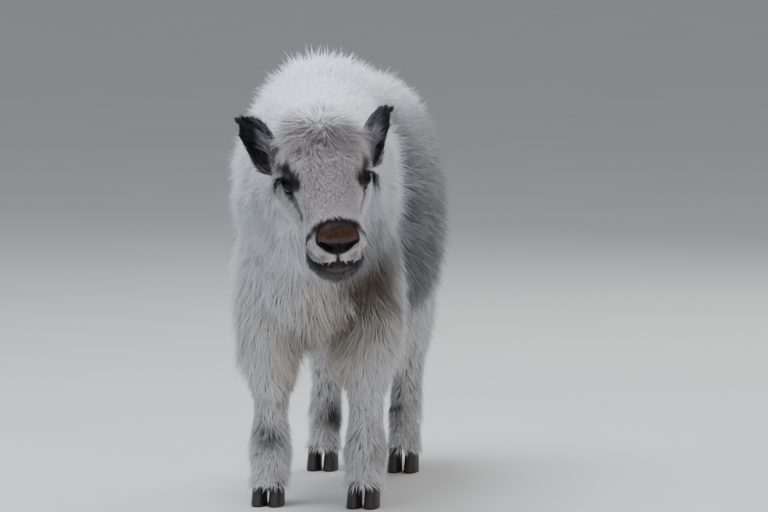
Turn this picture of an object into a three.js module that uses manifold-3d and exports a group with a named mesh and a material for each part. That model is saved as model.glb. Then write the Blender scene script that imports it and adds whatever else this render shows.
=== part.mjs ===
// A yak calf a few weeks old, standing still with its head turned a little to its left.
// Millimetres, +Z up. It faces -Y, its left side is at +X, and its soles stand at z = 0.
// Flesh and the lower half of the coat are solid cores; the upper half of the coat is made of locks.

import * as THREE from "three";
import { mergeVertices } from "three/addons/utils/BufferGeometryUtils.js";
import Module from "manifold-3d";

const wasm = await Module();
wasm.setup();

const { Vector3 } = THREE;
const degree = Math.PI / 180;

// Driving sizes
const gap = 0.3; // between two nodes that touch
const coreShare = 0.45; // share of the coat's depth that the solid core takes
const hoofHeight = 36;
const footSpread = { fore: 72, hind: 64 }; // from the middle of the body to each foot
const footY = { fore: -158, hind: 268 };
const headTurn = 20.4 * degree; // to its left
const headDrop = 37 * degree; // nose below level
const headRoll = 4.6 * degree; // left eye raised
const headPlace = new Vector3(59.5, -418, 493); // middle of the skull between the eyes
const eyeRadius = 14.5;
const eyeOut = 50; // from the middle of the skull to an eye's centre
const eyeUp = 20;
const lidThickness = 3;
const mouthLevel = -29; // height of the mouth line in the head's own frame

// Seeded random numbers, so that every build is the same
let seed = 20417;
function random() {
  seed = (seed * 1664525 + 1013904223) % 4294967296;
  return seed / 4294967296;
}
const vary = (share) => 1 + share * (2 * random() - 1);

// A loft runs through rows of numbers: place along the axis, side offset, middle height,
// half width, reach above, reach below, coat depth. Its ends are domes, or flat where the cap is 0.
class Loft {
  constructor({ rows, along = [0, 1, 0], upward = [0, 0, 1], power = 2.2, caps = [0, 0], shape }) {
    this.rows = rows;
    this.along = new Vector3(...along).normalize();
    this.upward = new Vector3(...upward);
    this.upward.addScaledVector(this.along, -this.upward.dot(this.along)).normalize();
    this.side = new Vector3().crossVectors(this.along, this.upward);
    this.power = power;
    this.caps = caps;
    this.last = rows.length - 1;
    this.shape = shape ?? ((p) => p);
  }

  // The seven numbers at a place between rows, by a Catmull-Rom curve
  valuesAt(s) {
    const i = Math.min(Math.max(Math.floor(s), 0), this.last - 1);
    const t = Math.min(Math.max(s, 0), this.last) - i;
    const row = (k) => this.rows[Math.min(Math.max(k, 0), this.last)];
    const [a, b, c, d] = [row(i - 1), row(i), row(i + 1), row(i + 2)];
    return b.map((_, k) => 0.5 * (2 * b[k] + (c[k] - a[k]) * t
      + (2 * a[k] - 5 * b[k] + 4 * c[k] - d[k]) * t * t
      + (3 * b[k] - a[k] - 3 * c[k] + d[k]) * t * t * t));
  }

  // A surface point: s below 0 or above the last row is on an end dome
  point(s, angle, share = 0, extra = 0) {
    const [at, offset, middle, half, above, below, coat] = this.valuesAt(s);
    const grow = share * coat + extra;
    const over = s < 0 ? -s : Math.max(s - this.last, 0);
    const cap = s < 0 ? -(this.caps[0] + grow) : this.caps[1] + grow;
    const shrink = Math.sqrt(Math.max(1 - over * over, 0));
    const [c, n] = [Math.cos(angle), Math.sin(angle)];
    const x = Math.sign(c) * Math.abs(c) ** (2 / this.power) * (half + grow) * shrink;
    const z = Math.sign(n) * Math.abs(n) ** (2 / this.power) * ((n > 0 ? above : below) + grow) * shrink;
    const p = this.along.clone().multiplyScalar(at + over * cap);
    p.addScaledVector(this.side, offset + x).addScaledVector(this.upward, middle + z);
    return this.shape(p);
  }

  normal(s, angle, share) {
    const [ds, da] = [0.02, 0.03];
    const inside = Math.min(Math.max(s, 0.02), this.last - 0.02);
    const u = this.point(inside + ds, angle, share).sub(this.point(inside - ds, angle, share));
    const v = this.point(inside, angle + da, share).sub(this.point(inside, angle - da, share));
    return u.cross(v).normalize();
  }

  // The place on the loft that a nearby point belongs to
  nearest(p) {
    const at = p.dot(this.along);
    let [low, high] = [0, this.last];
    for (let k = 0; k < 18; k++) {
      const mid = (low + high) / 2;
      if (this.valuesAt(mid)[0] < at) low = mid;
      else high = mid;
    }
    const [, offset, middle, half, above, below] = this.valuesAt(low);
    const x = (p.dot(this.side) - offset) / half;
    const z = (p.dot(this.upward) - middle) / (p.dot(this.upward) > middle ? above : below);
    const bend = (v) => Math.sign(v) * Math.abs(v) ** (this.power / 2);
    return { s: low, angle: Math.atan2(bend(z), bend(x)) };
  }

  geometry({ rings, sides, share = 0, extra = 0 }) {
    const stops = [];
    const domeSteps = [0.92, 0.55];
    if (this.caps[0]) stops.push(...domeSteps.map((q) => -q));
    for (let k = 0; k <= rings; k++) stops.push((k / rings) * this.last);
    if (this.caps[1]) stops.push(...domeSteps.map((q) => this.last + q).reverse());
    const grid = stops.map((s) => Array.from({ length: sides },
      (_, j) => this.point(s, (j / sides) * 2 * Math.PI, share, extra)));
    const ends = [this.caps[0] ? -1 : 0, this.last + (this.caps[1] ? 1 : 0)];
    const poles = ends.map((s, k) => {
      if (this.caps[k]) return this.point(s, 0, share, extra);
      return middleOf(grid[k ? grid.length - 1 : 0]);
    });
    return closedTube(grid, poles);
  }
}

// A closed surface through rings of points, with a fan at each end
function closedTube(grid, poles) {
  const sides = grid[0].length;
  const points = [...grid.flat(), ...poles];
  const faces = [];
  for (let i = 0; i + 1 < grid.length; i++) {
    for (let j = 0; j < sides; j++) {
      const k = (j + 1) % sides;
      const [a, b, c, d] = [i * sides + j, i * sides + k, (i + 1) * sides + k, (i + 1) * sides + j];
      faces.push(a, b, c, a, c, d);
    }
  }
  const top = (grid.length - 1) * sides;
  for (let j = 0; j < sides; j++) {
    const k = (j + 1) % sides;
    faces.push(points.length - 2, k, j);
    faces.push(points.length - 1, top + j, top + k);
  }
  return meshOf(points, faces);
}

const middleOf = (ring) => ring.reduce((sum, p) => sum.add(p), new Vector3()).divideScalar(ring.length);

function meshOf(points, faces) {
  const geometry = new THREE.BufferGeometry().setFromPoints(points);
  geometry.setIndex(faces);
  return geometry;
}

// A closed geometry as a solid; one whose faces point inwards is turned round
function solid(geometry) {
  const bare = geometry.clone();
  bare.deleteAttribute("normal");
  bare.deleteAttribute("uv");
  const merged = mergeVertices(bare, 1e-4);
  const vertProperties = new Float32Array(merged.attributes.position.array);
  const triVerts = new Uint32Array(merged.index.array);
  const make = () => new wasm.Manifold(new wasm.Mesh({ numProp: 3, vertProperties, triVerts }));
  const made = make();
  if (made.volume() > 0) return made;
  for (let i = 0; i < triVerts.length; i += 3) {
    [triVerts[i + 1], triVerts[i + 2]] = [triVerts[i + 2], triVerts[i + 1]];
  }
  return make();
}

const join = (solids) => solids.reduce((sum, one) => sum.add(one));
const biggest = (one) => one.decompose().reduce((a, b) => (b.volume() > a.volume() ? b : a));

function ball(centre, radius, segments = 14, stretch = [1, 1, 1]) {
  const sphere = new THREE.SphereGeometry(radius, segments, Math.round(segments * 0.7));
  sphere.scale(...stretch);
  return sphere.translate(centre.x, centre.y, centre.z);
}

// Torso: rows of [y, 0, middle, half width, above, below, coat], from the chest to the rump
const torsoRow = (y, top, bottom, half, coat) => {
  const middle = top * 0.34 + bottom * 0.66;
  return [y, 0, middle, half, top - middle, middle - bottom, coat];
};
const torso = new Loft({
  power: 2.25,
  caps: [12, 22],
  rows: [
    torsoRow(-226, 470, 350, 34, 34),
    torsoRow(-204, 526, 320, 58, 40),
    torsoRow(-168, 588, 288, 77, 44),
    torsoRow(-110, 632, 268, 87, 46),
    torsoRow(-40, 620, 264, 100, 46),
    torsoRow(40, 596, 268, 111, 44),
    torsoRow(120, 584, 280, 112, 42),
    torsoRow(200, 594, 300, 102, 42),
    torsoRow(270, 584, 338, 88, 40),
    torsoRow(322, 548, 392, 62, 36),
  ],
});

// Head, in its own frame: nose to -Y, crown to +Z, origin between the eyes
const headStrokes = [
  { at: [44, -12, 48], reach: [18, 20, 14], move: [3, 0, 4] }, // brow
  { at: [62, -8, 16], reach: [16, 20, 16], move: [-8, 0, 0] }, // hollow round the eye
  { at: [44, -52, 2], reach: [14, 24, 22], move: [-5, 0, 0] }, // hollow before the cheek
  { at: [54, 20, -36], reach: [22, 34, 26], move: [5, 0, 0] }, // cheek
  { at: [31, -110, -2], reach: [15, 18, 18], move: [5, -2, 0] }, // swell beside the nostril
  { at: [0, -64, 44], reach: [16, 40, 14], move: [0, 0, 3] }, // bridge of the nose
  { at: [0, -110, -60], reach: [26, 18, 14], move: [0, -5, -2] }, // chin
];
const stroke = (p) => {
  for (const { at, reach, move } of headStrokes) {
    for (const hand of at[0] ? [1, -1] : [1]) {
      const d = [(p.x * hand - at[0]) / reach[0], (p.y - at[1]) / reach[1], (p.z - at[2]) / reach[2]];
      const pull = Math.exp(-(d[0] * d[0] + d[1] * d[1] + d[2] * d[2]));
      p.add(new Vector3(move[0] * hand, move[1], move[2]).multiplyScalar(pull));
    }
  }
  return p;
};
const head = new Loft({
  power: 2.35,
  caps: [10, 14],
  shape: stroke,
  rows: [
    [-116, 0, -16, 33, 34, 42, 2.5],
    [-101, 0, -16, 39, 42, 50, 3],
    [-78, 0, -11, 40, 45, 54, 4],
    [-46, 0, -5, 45, 50, 59, 6],
    [-16, 0, 0, 53, 57, 65, 8],
    [14, 0, 0, 59, 62, 67, 10],
    [44, 0, 0, 59, 62, 63, 13],
    [74, 0, 2, 51, 54, 50, 16],
    [96, 0, 4, 38, 38, 36, 16],
  ],
});
const headFrame = new THREE.Matrix4()
  .makeTranslation(headPlace.x, headPlace.y, headPlace.z)
  .multiply(new THREE.Matrix4().makeRotationZ(headTurn))
  .multiply(new THREE.Matrix4().makeRotationX(headDrop))
  .multiply(new THREE.Matrix4().makeRotationY(-headRoll));
const fromHead = (p) => p.clone().applyMatrix4(headFrame);

// Neck, from the nape back into the shoulders
const nape = fromHead(new Vector3(0, 84, -2));
const neckRoot = new Vector3(0, -150, 476);
const neckAlong = neckRoot.clone().sub(nape).normalize();
const neckUp = new Vector3(0, 0, 1).addScaledVector(neckAlong, -neckAlong.z).normalize();
const neckSide = new Vector3().crossVectors(neckAlong, neckUp);
const neckRow = (share, rise, half, above, below, coat) => {
  const p = nape.clone().lerp(neckRoot, share);
  return [p.dot(neckAlong), p.dot(neckSide), p.dot(neckUp) + rise, half, above, below, coat];
};
const neck = new Loft({
  along: neckAlong.toArray(),
  upward: neckUp.toArray(),
  rows: [
    neckRow(0, 0, 50, 60, 60, 22),
    neckRow(0.28, 4, 56, 72, 80, 30),
    neckRow(0.55, 6, 66, 92, 106, 38),
    neckRow(0.8, 4, 78, 116, 132, 42),
    neckRow(1, 0, 82, 122, 140, 44),
  ],
});

// Legs, from the hoof up: rows of [z, share of the spread, -y, half width, reach in front, reach behind, coat]
const legRows = {
  fore: [
    [hoofHeight + gap, 1, 158, 20, 22, 24, 14],
    [62, 1, 152, 19, 18, 21, 15],
    [90, 1, 147, 20, 19, 22, 16],
    [140, 1, 144, 15, 16, 17, 14],
    [180, 1, 145, 18, 20, 19, 16],
    [216, 1, 146, 23, 25, 22, 24],
    [256, 1, 142, 28, 28, 31, 34],
    [316, 1, 138, 30, 40, 48, 34],
    [378, 0.93, 142, 28, 52, 58, 34],
    [440, 0.84, 142, 24, 44, 50, 36],
  ],
  hind: [
    [hoofHeight + gap, 1, -268, 20, 22, 24, 12],
    [62, 1, -276, 17, 18, 20, 11],
    [90, 1, -282, 17, 18, 20, 13],
    [140, 1, -290, 14, 16, 17, 13],
    [188, 1, -296, 17, 20, 23, 16],
    [224, 1, -296, 21, 27, 26, 22],
    [268, 1, -284, 25, 33, 34, 28],
    [326, 1, -262, 28, 56, 52, 32],
    [392, 0.92, -246, 32, 70, 66, 36],
    [452, 0.84, -238, 32, 58, 58, 38],
  ],
};
const legs = {};
for (const end of ["fore", "hind"]) {
  for (const [name, hand] of [["left", 1], ["right", -1]]) {
    legs[`${end}leg_${name}`] = new Loft({
      along: [0, 0, 1],
      upward: [0, -1, 0],
      caps: [0, 30],
      power: 2.1,
      rows: legRows[end].map(([z, share, ...rest]) => [z, share * footSpread[end] * hand, ...rest]),
    });
  }
}
const legSplit = { fore: 236, hind: 246 }; // where the cannon part meets the forearm or gaskin

// Tail, from its tip up to the rump: rows of [z, x, -y, half width, reach in front, reach behind, coat]
const tail = new Loft({
  along: [0, 0, 1],
  upward: [0, -1, 0],
  caps: [12, 10],
  power: 2,
  rows: [
    [268, 6, -366, 8, 8, 8, 26],
    [330, 5, -372, 9, 9, 9, 28],
    [400, 3, -374, 10, 10, 10, 26],
    [470, 1, -366, 13, 13, 13, 24],
    [520, 0, -346, 16, 18, 18, 22],
    [540, 0, -322, 17, 22, 22, 20],
  ],
});
const tailSplit = 372;

// Ear: a leaf bent into a cup, each cross-section an arc with an outer and an inner face
const earLength = 90;
const earWall = 3.4;
const earRows = [
  // share of the length, half width, depth of the cup, half opening in degrees
  [0, 13, 13, 150],
  [0.16, 18, 16, 128],
  [0.38, 23, 17, 104],
  [0.62, 23, 13, 88],
  [0.84, 18, 9, 80],
  [0.95, 12, 6, 70],
  [1, 6, 3, 60],
];
const earArc = 7;
function earSolid(hand, extra = 0) {
  const root = new Vector3(60 * hand, 46, 7);
  const axis = new Vector3(0.52 * hand, 0.8, 0.35).normalize();
  const opening = new Vector3(0.76 * hand, -0.6, 0.25);
  opening.addScaledVector(axis, -opening.dot(axis)).normalize();
  const across = new Vector3().crossVectors(axis, opening);
  const grid = earRows.map(([share, half, depth, open]) => {
    const arc = (offset) => Array.from({ length: earArc }, (_, k) => {
      const turn = (2 * k / (earArc - 1) - 1) * open * degree;
      const droop = -6 * Math.sin(share * Math.PI);
      return root.clone().addScaledVector(axis, share * earLength)
        .addScaledVector(across, Math.sin(turn) * (half + offset))
        .addScaledVector(opening, depth / 2 + droop - Math.cos(turn) * (depth + offset));
    });
    return [...arc(earWall / 2 + extra), ...arc(-earWall / 2 - extra).reverse()];
  });
  const ring = grid[0].length;
  const faces = [];
  for (let i = 0; i + 1 < grid.length; i++) {
    for (let j = 0; j < ring; j++) {
      const k = (j + 1) % ring;
      faces.push(i * ring + j, i * ring + k, (i + 1) * ring + k);
      faces.push(i * ring + j, (i + 1) * ring + k, (i + 1) * ring + j);
    }
  }
  for (const [start, turned] of [[0, true], [(grid.length - 1) * ring, false]]) {
    for (let j = 0; j + 1 < earArc; j++) {
      const [a, b, c, d] = [start + j, start + j + 1, start + ring - 2 - j, start + ring - 1 - j];
      faces.push(...(turned ? [a, c, b, a, d, c] : [a, b, c, a, c, d]));
    }
  }
  const points = grid.flat().map(fromHead);
  return solid(meshOf(points, faces));
}

// Head solid: lids round each eye, nostrils and the mouth line cut in
const headSize = { rings: 15, sides: 24, share: 1 };
function eyeCentre(hand) {
  return new Vector3(eyeOut * hand, -4, eyeUp);
}
function eyeGaze(hand) {
  return new Vector3(0.87 * hand, -0.48, 0.12).normalize();
}

// An almond-shaped plug that opens the lids, pointing along the gaze
function lidOpening(hand) {
  const halfLong = 14;
  const halfTall = 10;
  const corners = 10;
  const points = [];
  const gaze = eyeGaze(hand);
  const level = new Vector3(0, 1, -0.28).addScaledVector(gaze, -new Vector3(0, 1, -0.28).dot(gaze)).normalize();
  const tall = new Vector3().crossVectors(gaze, level);
  for (let k = 0; k < corners; k++) {
    const turn = (k / corners) * 2 * Math.PI;
    const pinch = 1 - 0.22 * Math.abs(Math.cos(turn)) ** 3;
    points.push([Math.cos(turn) * halfLong, Math.sin(turn) * halfTall * pinch]);
  }
  const grid = [2, 36].map((out) => points.map(([a, b]) => eyeCentre(hand)
    .addScaledVector(gaze, out)
    .addScaledVector(level, a * (0.6 + out / 36))
    .addScaledVector(tall, b * (0.6 + out / 36))));
  return solid(closedTube(grid, grid.map(middleOf)));
}

// A groove along the mouth: a thin tube on the head's surface at the mouth's height
function mouthGroove() {
  const path = [];
  const level = (angle) => {
    let [low, high] = [-0.999, 3.2];
    for (let k = 0; k < 24; k++) {
      const mid = (low + high) / 2;
      if (head.point(mid, angle, 1).z > mouthLevel) low = mid;
      else high = mid;
    }
    return head.point(low, angle, 1);
  };
  const reach = 50 * degree;
  for (let k = -6; k <= 6; k++) {
    const p = level(-Math.PI / 2 + (k / 6) * reach);
    p.z += 8 * Math.abs(k / 6) ** 3;
    path.push(p);
  }
  const curve = new THREE.CatmullRomCurve3(path);
  const steps = 14;
  const grid = [];
  for (let k = 0; k <= steps; k++) {
    const p = curve.getPoint(k / steps);
    const forward = curve.getTangent(k / steps);
    const out = new Vector3(forward.y, -forward.x, 0).normalize();
    if (out.dot(p) < 0 && out.y > 0) out.negate();
    const thick = 1.5 + 0.9 * Math.sin((k / steps) * Math.PI);
    grid.push([[7, 0], [0, thick], [-7, 0], [0, -thick]].map(([a, b]) => p.clone()
      .addScaledVector(out, a).add(new Vector3(0, 0, b))));
  }
  return solid(closedTube(grid, [middleOf(grid[0]), middleOf(grid[steps])]));
}

// The bare pad of the nose: arched above, widest at the nostrils, with a comma of a nostril on each side
function nosePad() {
  const pad = new THREE.SphereGeometry(1, 14, 8);
  const place = pad.attributes.position;
  for (let k = 0; k < place.count; k++) {
    const p = new Vector3().fromBufferAttribute(place, k);
    const wide = 33 - 2 * p.z;
    place.setXYZ(k, p.x * wide, -111 + p.y * 23 + 7 * p.z, 8 + p.z * 21);
  }
  return solid(pad);
}

function nostril(hand) {
  const pit = ball(new Vector3(), 8, 8, [1.15, 1.5, 0.62]);
  pit.rotateY(-38 * hand * degree).rotateZ(34 * hand * degree).translate(19 * hand, -130, 3);
  const tail = ball(new Vector3(), 5, 6, [0.7, 1.4, 1.1]).translate(27 * hand, -121, 7);
  return solid(pit).add(solid(tail));
}

function headSolid() {
  const lids = [1, -1].map((hand) => solid(ball(eyeCentre(hand), eyeRadius + lidThickness, 12)));
  let made = join([solid(head.geometry(headSize)), nosePad(), ...lids]);
  for (const hand of [1, -1]) {
    made = made.subtract(lidOpening(hand)).subtract(nostril(hand));
    made = made.subtract(solid(ball(eyeCentre(hand), eyeRadius + gap, 12)));
  }
  return made.subtract(mouthGroove()).transform(headFrame.toArray());
}
const headWhole = solid(head.geometry({ ...headSize, extra: gap })).transform(headFrame.toArray());

// Hoof: two claws side by side, each a block that narrows upward and slopes at the toe
function claw(footX, middleY, hand) {
  const corners = 10;
  const outline = (grow, lean, z) => Array.from({ length: corners }, (_, k) => {
    const turn = (k / corners) * 2 * Math.PI;
    const [c, n] = [Math.cos(turn), Math.sin(turn)];
    const x = Math.sign(c) * Math.abs(c) ** 0.8 * 12.4 * grow * (c * hand < 0 ? 0.9 : 1);
    const y = -n * (n > 0 ? 31 : 22) * grow + lean;
    return new Vector3(footX + hand * 12.6 + x, middleY - 8 + y, z);
  });
  const heights = [[0, 1, 0], [5, 1, 0.5], [22, 0.93, 4], [hoofHeight, 0.84, 8]];
  const grid = heights.map(([z, grow, lean]) => outline(grow, lean, z));
  return solid(closedTube(grid, [middleOf(grid[0]), middleOf(grid[3])]));
}

// A slab that keeps what lies above or below a level, for the parting cuts
function slab(low, high) {
  const width = 1400;
  return solid(new THREE.BoxGeometry(width, width, high - low).translate(0, 0, (low + high) / 2));
}

// Bodies of the nodes, each cut clear of what it grows from
const nodes = new Map();
const torsoSize = { rings: 16, sides: 22, share: coreShare };
const neckSize = { rings: 8, sides: 20, share: coreShare };
const torsoWide = solid(torso.geometry({ ...torsoSize, extra: gap }));
const neckWide = solid(neck.geometry({ ...neckSize, extra: gap }));
const headWide = solid(head.geometry({ ...headSize, extra: gap })).transform(headFrame.toArray());
nodes.set("torso", solid(torso.geometry(torsoSize)));
nodes.set("head", headSolid());
for (const [name, hand] of [["left", 1], ["right", -1]]) {
  nodes.set(`eye_${name}`, solid(ball(eyeCentre(hand), eyeRadius, 12)).transform(headFrame.toArray()));
  nodes.set(`ear_${name}`, biggest(earSolid(hand).subtract(headWide)));
}
nodes.set("neck", biggest(solid(neck.geometry(neckSize)).subtract(torsoWide).subtract(headWide)
  .subtract(earSolid(1, gap)).subtract(earSolid(-1, gap))));
for (const [name, loft] of Object.entries(legs)) {
  const end = name.slice(0, 4);
  const hand = name.endsWith("left") ? 1 : -1;
  const clear = solid(loft.geometry({ rings: 11, sides: 12, share: coreShare }))
    .subtract(torsoWide).subtract(neckWide);
  nodes.set(`${name}_upper`, biggest(clear.intersect(slab(legSplit[end] + gap / 2, 700))));
  nodes.set(`${name}_lower`, biggest(clear.intersect(slab(0, legSplit[end] - gap / 2))));
  nodes.set(`${name}_claw_outer`, claw(footSpread[end] * hand, footY[end], hand));
  nodes.set(`${name}_claw_inner`, claw(footSpread[end] * hand, footY[end], -hand));
}
const tailSolid = solid(tail.geometry({ rings: 8, sides: 10, share: coreShare })).subtract(torsoWide);
nodes.set("tail_dock", biggest(tailSolid.intersect(slab(tailSplit + gap / 2, 700))));
nodes.set("tail_switch", biggest(tailSolid.intersect(slab(0, tailSplit - gap / 2))));

// Locks

// One lock: a flat blade of four sides that bends over the surface and tapers to a point
function lockSolid(path, across, width, thick, extra = 0) {
  const profile = [[0, 0.78], [0.34, 1], [0.7, 0.72]];
  const grid = profile.map(([t, share], k) => {
    const side = across[k];
    const forward = path[Math.min(k + 1, 3)].clone().sub(path[Math.max(k - 1, 0)]).normalize();
    const up = new Vector3().crossVectors(forward, side).normalize();
    const w = (width * share) / 2 + extra;
    const h = (thick * (1 - 0.5 * t)) / 2 + extra;
    return [[w, 0], [0, h], [-w, 0], [0, -h]].map(([a, b]) => path[k].clone()
      .addScaledVector(side, a).addScaledVector(up, b));
  });
  const tip = path[3].clone();
  if (extra) tip.addScaledVector(path[3].clone().sub(path[2]).normalize(), 2 * extra);
  return solid(closedTube(grid, [middleOf(grid[0]), tip]));
}

// The path of a lock over a loft: it starts sunk in the core, rises to the coat's outer height,
// and its end leaves the surface and hangs by the share called hang
function lockPath(loft, share, place, lie, { length, lift, sink = 9, hang = 0 }) {
  const path = [];
  const across = [];
  let here = loft.point(place.s, place.angle, share);
  for (let k = 0; k < 4; k++) {
    const spot = k ? loft.nearest(here) : place;
    const normal = loft.normal(spot.s, spot.angle, share);
    const surface = loft.point(spot.s, spot.angle, share);
    const forward = lie(here, normal);
    forward.addScaledVector(normal, -forward.dot(normal)).normalize();
    const p = surface.clone().addScaledVector(normal, [-sink, 0.62 * lift, 0.95 * lift, lift][k]);
    if (k > 1 && hang) {
      const run = path[k - 1].clone().sub(path[k - 2]).normalize().add(new Vector3(0, 0, -0.7)).normalize();
      p.lerp(path[k - 1].clone().addScaledVector(run, length / 3), hang);
    }
    path.push(p);
    across.push(new Vector3().crossVectors(forward, normal).normalize());
    here = surface.addScaledVector(forward, length / 3);
  }
  return { path, across };
}

const boxesMeet = (a, b) => [0, 1, 2].every((k) => a.min[k] < b.max[k] && b.min[k] < a.max[k]);
const grown = new Map([...nodes.keys()].map((name) => [name, []]));
const bodyBoxes = new Map([...nodes].map(([name, body]) => [name, body.boundingBox()]));

function clearOfOthers(node, one) {
  const box = one.boundingBox();
  for (const [name, body] of nodes) {
    if (name === node) continue;
    if (boxesMeet(box, bodyBoxes.get(name)) && one.intersect(body).volume() > 0) return false;
    for (const lock of grown.get(name)) {
      if (boxesMeet(box, lock.box) && one.intersect(lock.solid).volume() > 0) return false;
    }
  }
  return box.min[2] > 2;
}

// Rows of locks on one node; a lock that would cross another node is lifted or shortened, or left out
function growLocks({ node, loft, share = coreShare, frame, from, to, step, spacing, lie, size, keep }) {
  let row = 0;
  for (let s = from; s <= to; s += step) {
    const ring = Array.from({ length: 24 }, (_, k) => loft.point(s, (k / 24) * 2 * Math.PI, share));
    const girth = ring.reduce((sum, p, k) => sum + p.distanceTo(ring[(k + 1) % 24]), 0);
    const count = Math.max(4, Math.round(girth / spacing));
    row += 1;
    for (let k = 0; k < count; k++) {
      const turn = ((k + (row % 2) / 2 + 0.16 * (2 * random() - 1)) / count) * 2 * Math.PI;
      const place = {
        s: s + step * 0.16 * (2 * random() - 1),
        angle: Math.atan2(Math.sin(turn), Math.cos(turn)),
      };
      const swing = 0.3 * (2 * random() - 1);
      const root = loft.point(place.s, place.angle, share);
      const { length, width, thick, lift, hang, sink } = size(root, loft.valuesAt(place.s)[6] * (1 - share));
      const [long, wide] = [length * vary(0.14), width * vary(0.12)];
      if (keep && !keep(root)) continue;
      const steered = (p, n) => lie(p, n).applyAxisAngle(n, swing);
      for (const [raise, shorten] of [[1, 1], [1.3, 0.92], [1.1, 0.72], [1.6, 0.8]]) {
        const shape = { length: long * shorten, lift: lift * raise, sink, hang };
        const { path, across } = lockPath(loft, share, place, steered, shape);
        if (frame) {
          path.forEach((p) => p.applyMatrix4(frame));
          across.forEach((v) => v.transformDirection(frame));
        }
        if (!clearOfOthers(node, lockSolid(path, across, wide, thick, 0.5))) continue;
        const made = lockSolid(path, across, wide, thick);
        grown.get(node).push({ solid: made, box: made.boundingBox() });
        break;
      }
    }
  }
}

// Which way the coat lies: back along the body, down the flanks, legs, chest and throat
const bodyLie = (p) => {
  const flank = Math.min(Math.max((520 - p.z) / 160, 0), 1);
  const chest = Math.min(Math.max((-150 - p.y) / 60, 0), 1);
  return new Vector3(0.12 * Math.sign(p.x), 0.8 * (1 - chest), -1.3 * flank - 0.05 - chest);
};
const neckLie = (p) => {
  const flank = Math.min(Math.max((560 - p.z) / 120, 0), 1);
  return neckAlong.clone().multiplyScalar(1 - 0.6 * flank).add(new Vector3(0.1 * Math.sign(p.x), 0, -1.1 * flank));
};
const downward = () => new Vector3(0, 0.16, -1);
const whorl = new Vector3(0, 66, 60); // on the crown, where the hair of the forehead parts

const lockKinds = [
  {
    node: "torso", loft: torso, from: 0.12, to: 8.9, step: 0.96, spacing: 80, lie: bodyLie,
    size: (root, coat) => {
      const low = root.z < 350 ? 1 : 0;
      return { length: 104 + 6 * low, width: 74, thick: 13, lift: coat, hang: 0.55 * low };
    },
  },
  {
    node: "neck", loft: neck, from: 0.45, to: 3.9, step: 0.95, spacing: 76, lie: neckLie,
    size: (root, coat) => ({ length: 84, width: 68, thick: 12, lift: coat, hang: root.z < 430 ? 0.5 : 0 }),
  },
  {
    node: "head", loft: head, share: 1, frame: headFrame, from: 5, to: 7.6, step: 0.8, spacing: 40,
    lie: (p) => p.clone().sub(whorl),
    size: () => ({ length: 40, width: 32, thick: 8, lift: 4, sink: 5 }),
    keep: (root) => root.z > 44 && root.distanceTo(whorl) > 12 && root.distanceTo(whorl) < 52,
  },
  {
    node: "tail_dock", loft: tail, from: 2.4, to: 4.4, step: 0.9, spacing: 48, lie: downward,
    size: (root, coat) => ({ length: 84, width: 44, thick: 10, lift: coat, sink: 6 }),
  },
  {
    node: "tail_switch", loft: tail, from: 0.2, to: 1.5, step: 1.1, spacing: 44, lie: downward,
    size: (root, coat) => ({ length: 78, width: 42, thick: 10, lift: coat, sink: 5, hang: 0.3 }),
  },
];
for (const [name, loft] of Object.entries(legs)) {
  const fore = name.startsWith("fore");
  lockKinds.push({
    node: `${name}_upper`, loft, from: 6.1, to: 8.7, step: 0.9, spacing: 64, lie: downward,
    size: (root, coat) => ({ length: 78, width: 58, thick: 12, lift: coat }),
  });
  lockKinds.push({
    node: `${name}_lower`, loft, from: 1.5, to: 5.2, step: 1.6, spacing: 46, lie: downward,
    size: (root, coat) => ({ length: 60, width: 40, thick: 9, lift: coat, sink: 6, hang: 0.3 }),
    keep: (root) => root.y > (fore ? -150 : 274),
  });
}
lockKinds.forEach(growLocks);

// Colours by node, from the photo: white coat, grey flanks, dark ears, hooves and eyes
const finish = {
  torso: [0xa9a8ae, 0.9],
  neck: [0xd9dade, 0.9],
  head: [0xbdb9bb, 0.88],
  ear: [0x2b2a30, 0.85],
  eye: [0x0d0908, 0.08],
  tail: [0xd8d7da, 0.9],
  upper: [0xcfccca, 0.9],
  lower: [0xc4bdb6, 0.9],
  claw: [0x2f2a27, 0.55],
};
const finishOf = (name) => finish[Object.keys(finish).find((key) => name.includes(key))];

const calf = new THREE.Group();
for (const [name, body] of nodes) {
  const locks = grown.get(name).map((lock) => lock.solid);
  const made = biggest(locks.length ? wasm.Manifold.union([body, ...locks]) : body);
  const mesh = made.getMesh();
  const points = [];
  for (let i = 0; i < mesh.numVert; i++) {
    points.push(new Vector3().fromArray(mesh.vertProperties, i * mesh.numProp));
  }
  const [color, roughness] = finishOf(name);
  const material = new THREE.MeshStandardMaterial({ color, roughness, metalness: 0 });
  const piece = new THREE.Mesh(meshOf(points, Array.from(mesh.triVerts)), material);
  piece.name = name;
  calf.add(piece);
}

// The frame's origin is under the middle of the animal, on the ground
const extent = new THREE.Box3().setFromObject(calf);
const centre = extent.getCenter(new Vector3());
calf.position.set(-centre.x, -centre.y, -extent.min.z);

export default calf;
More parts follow.
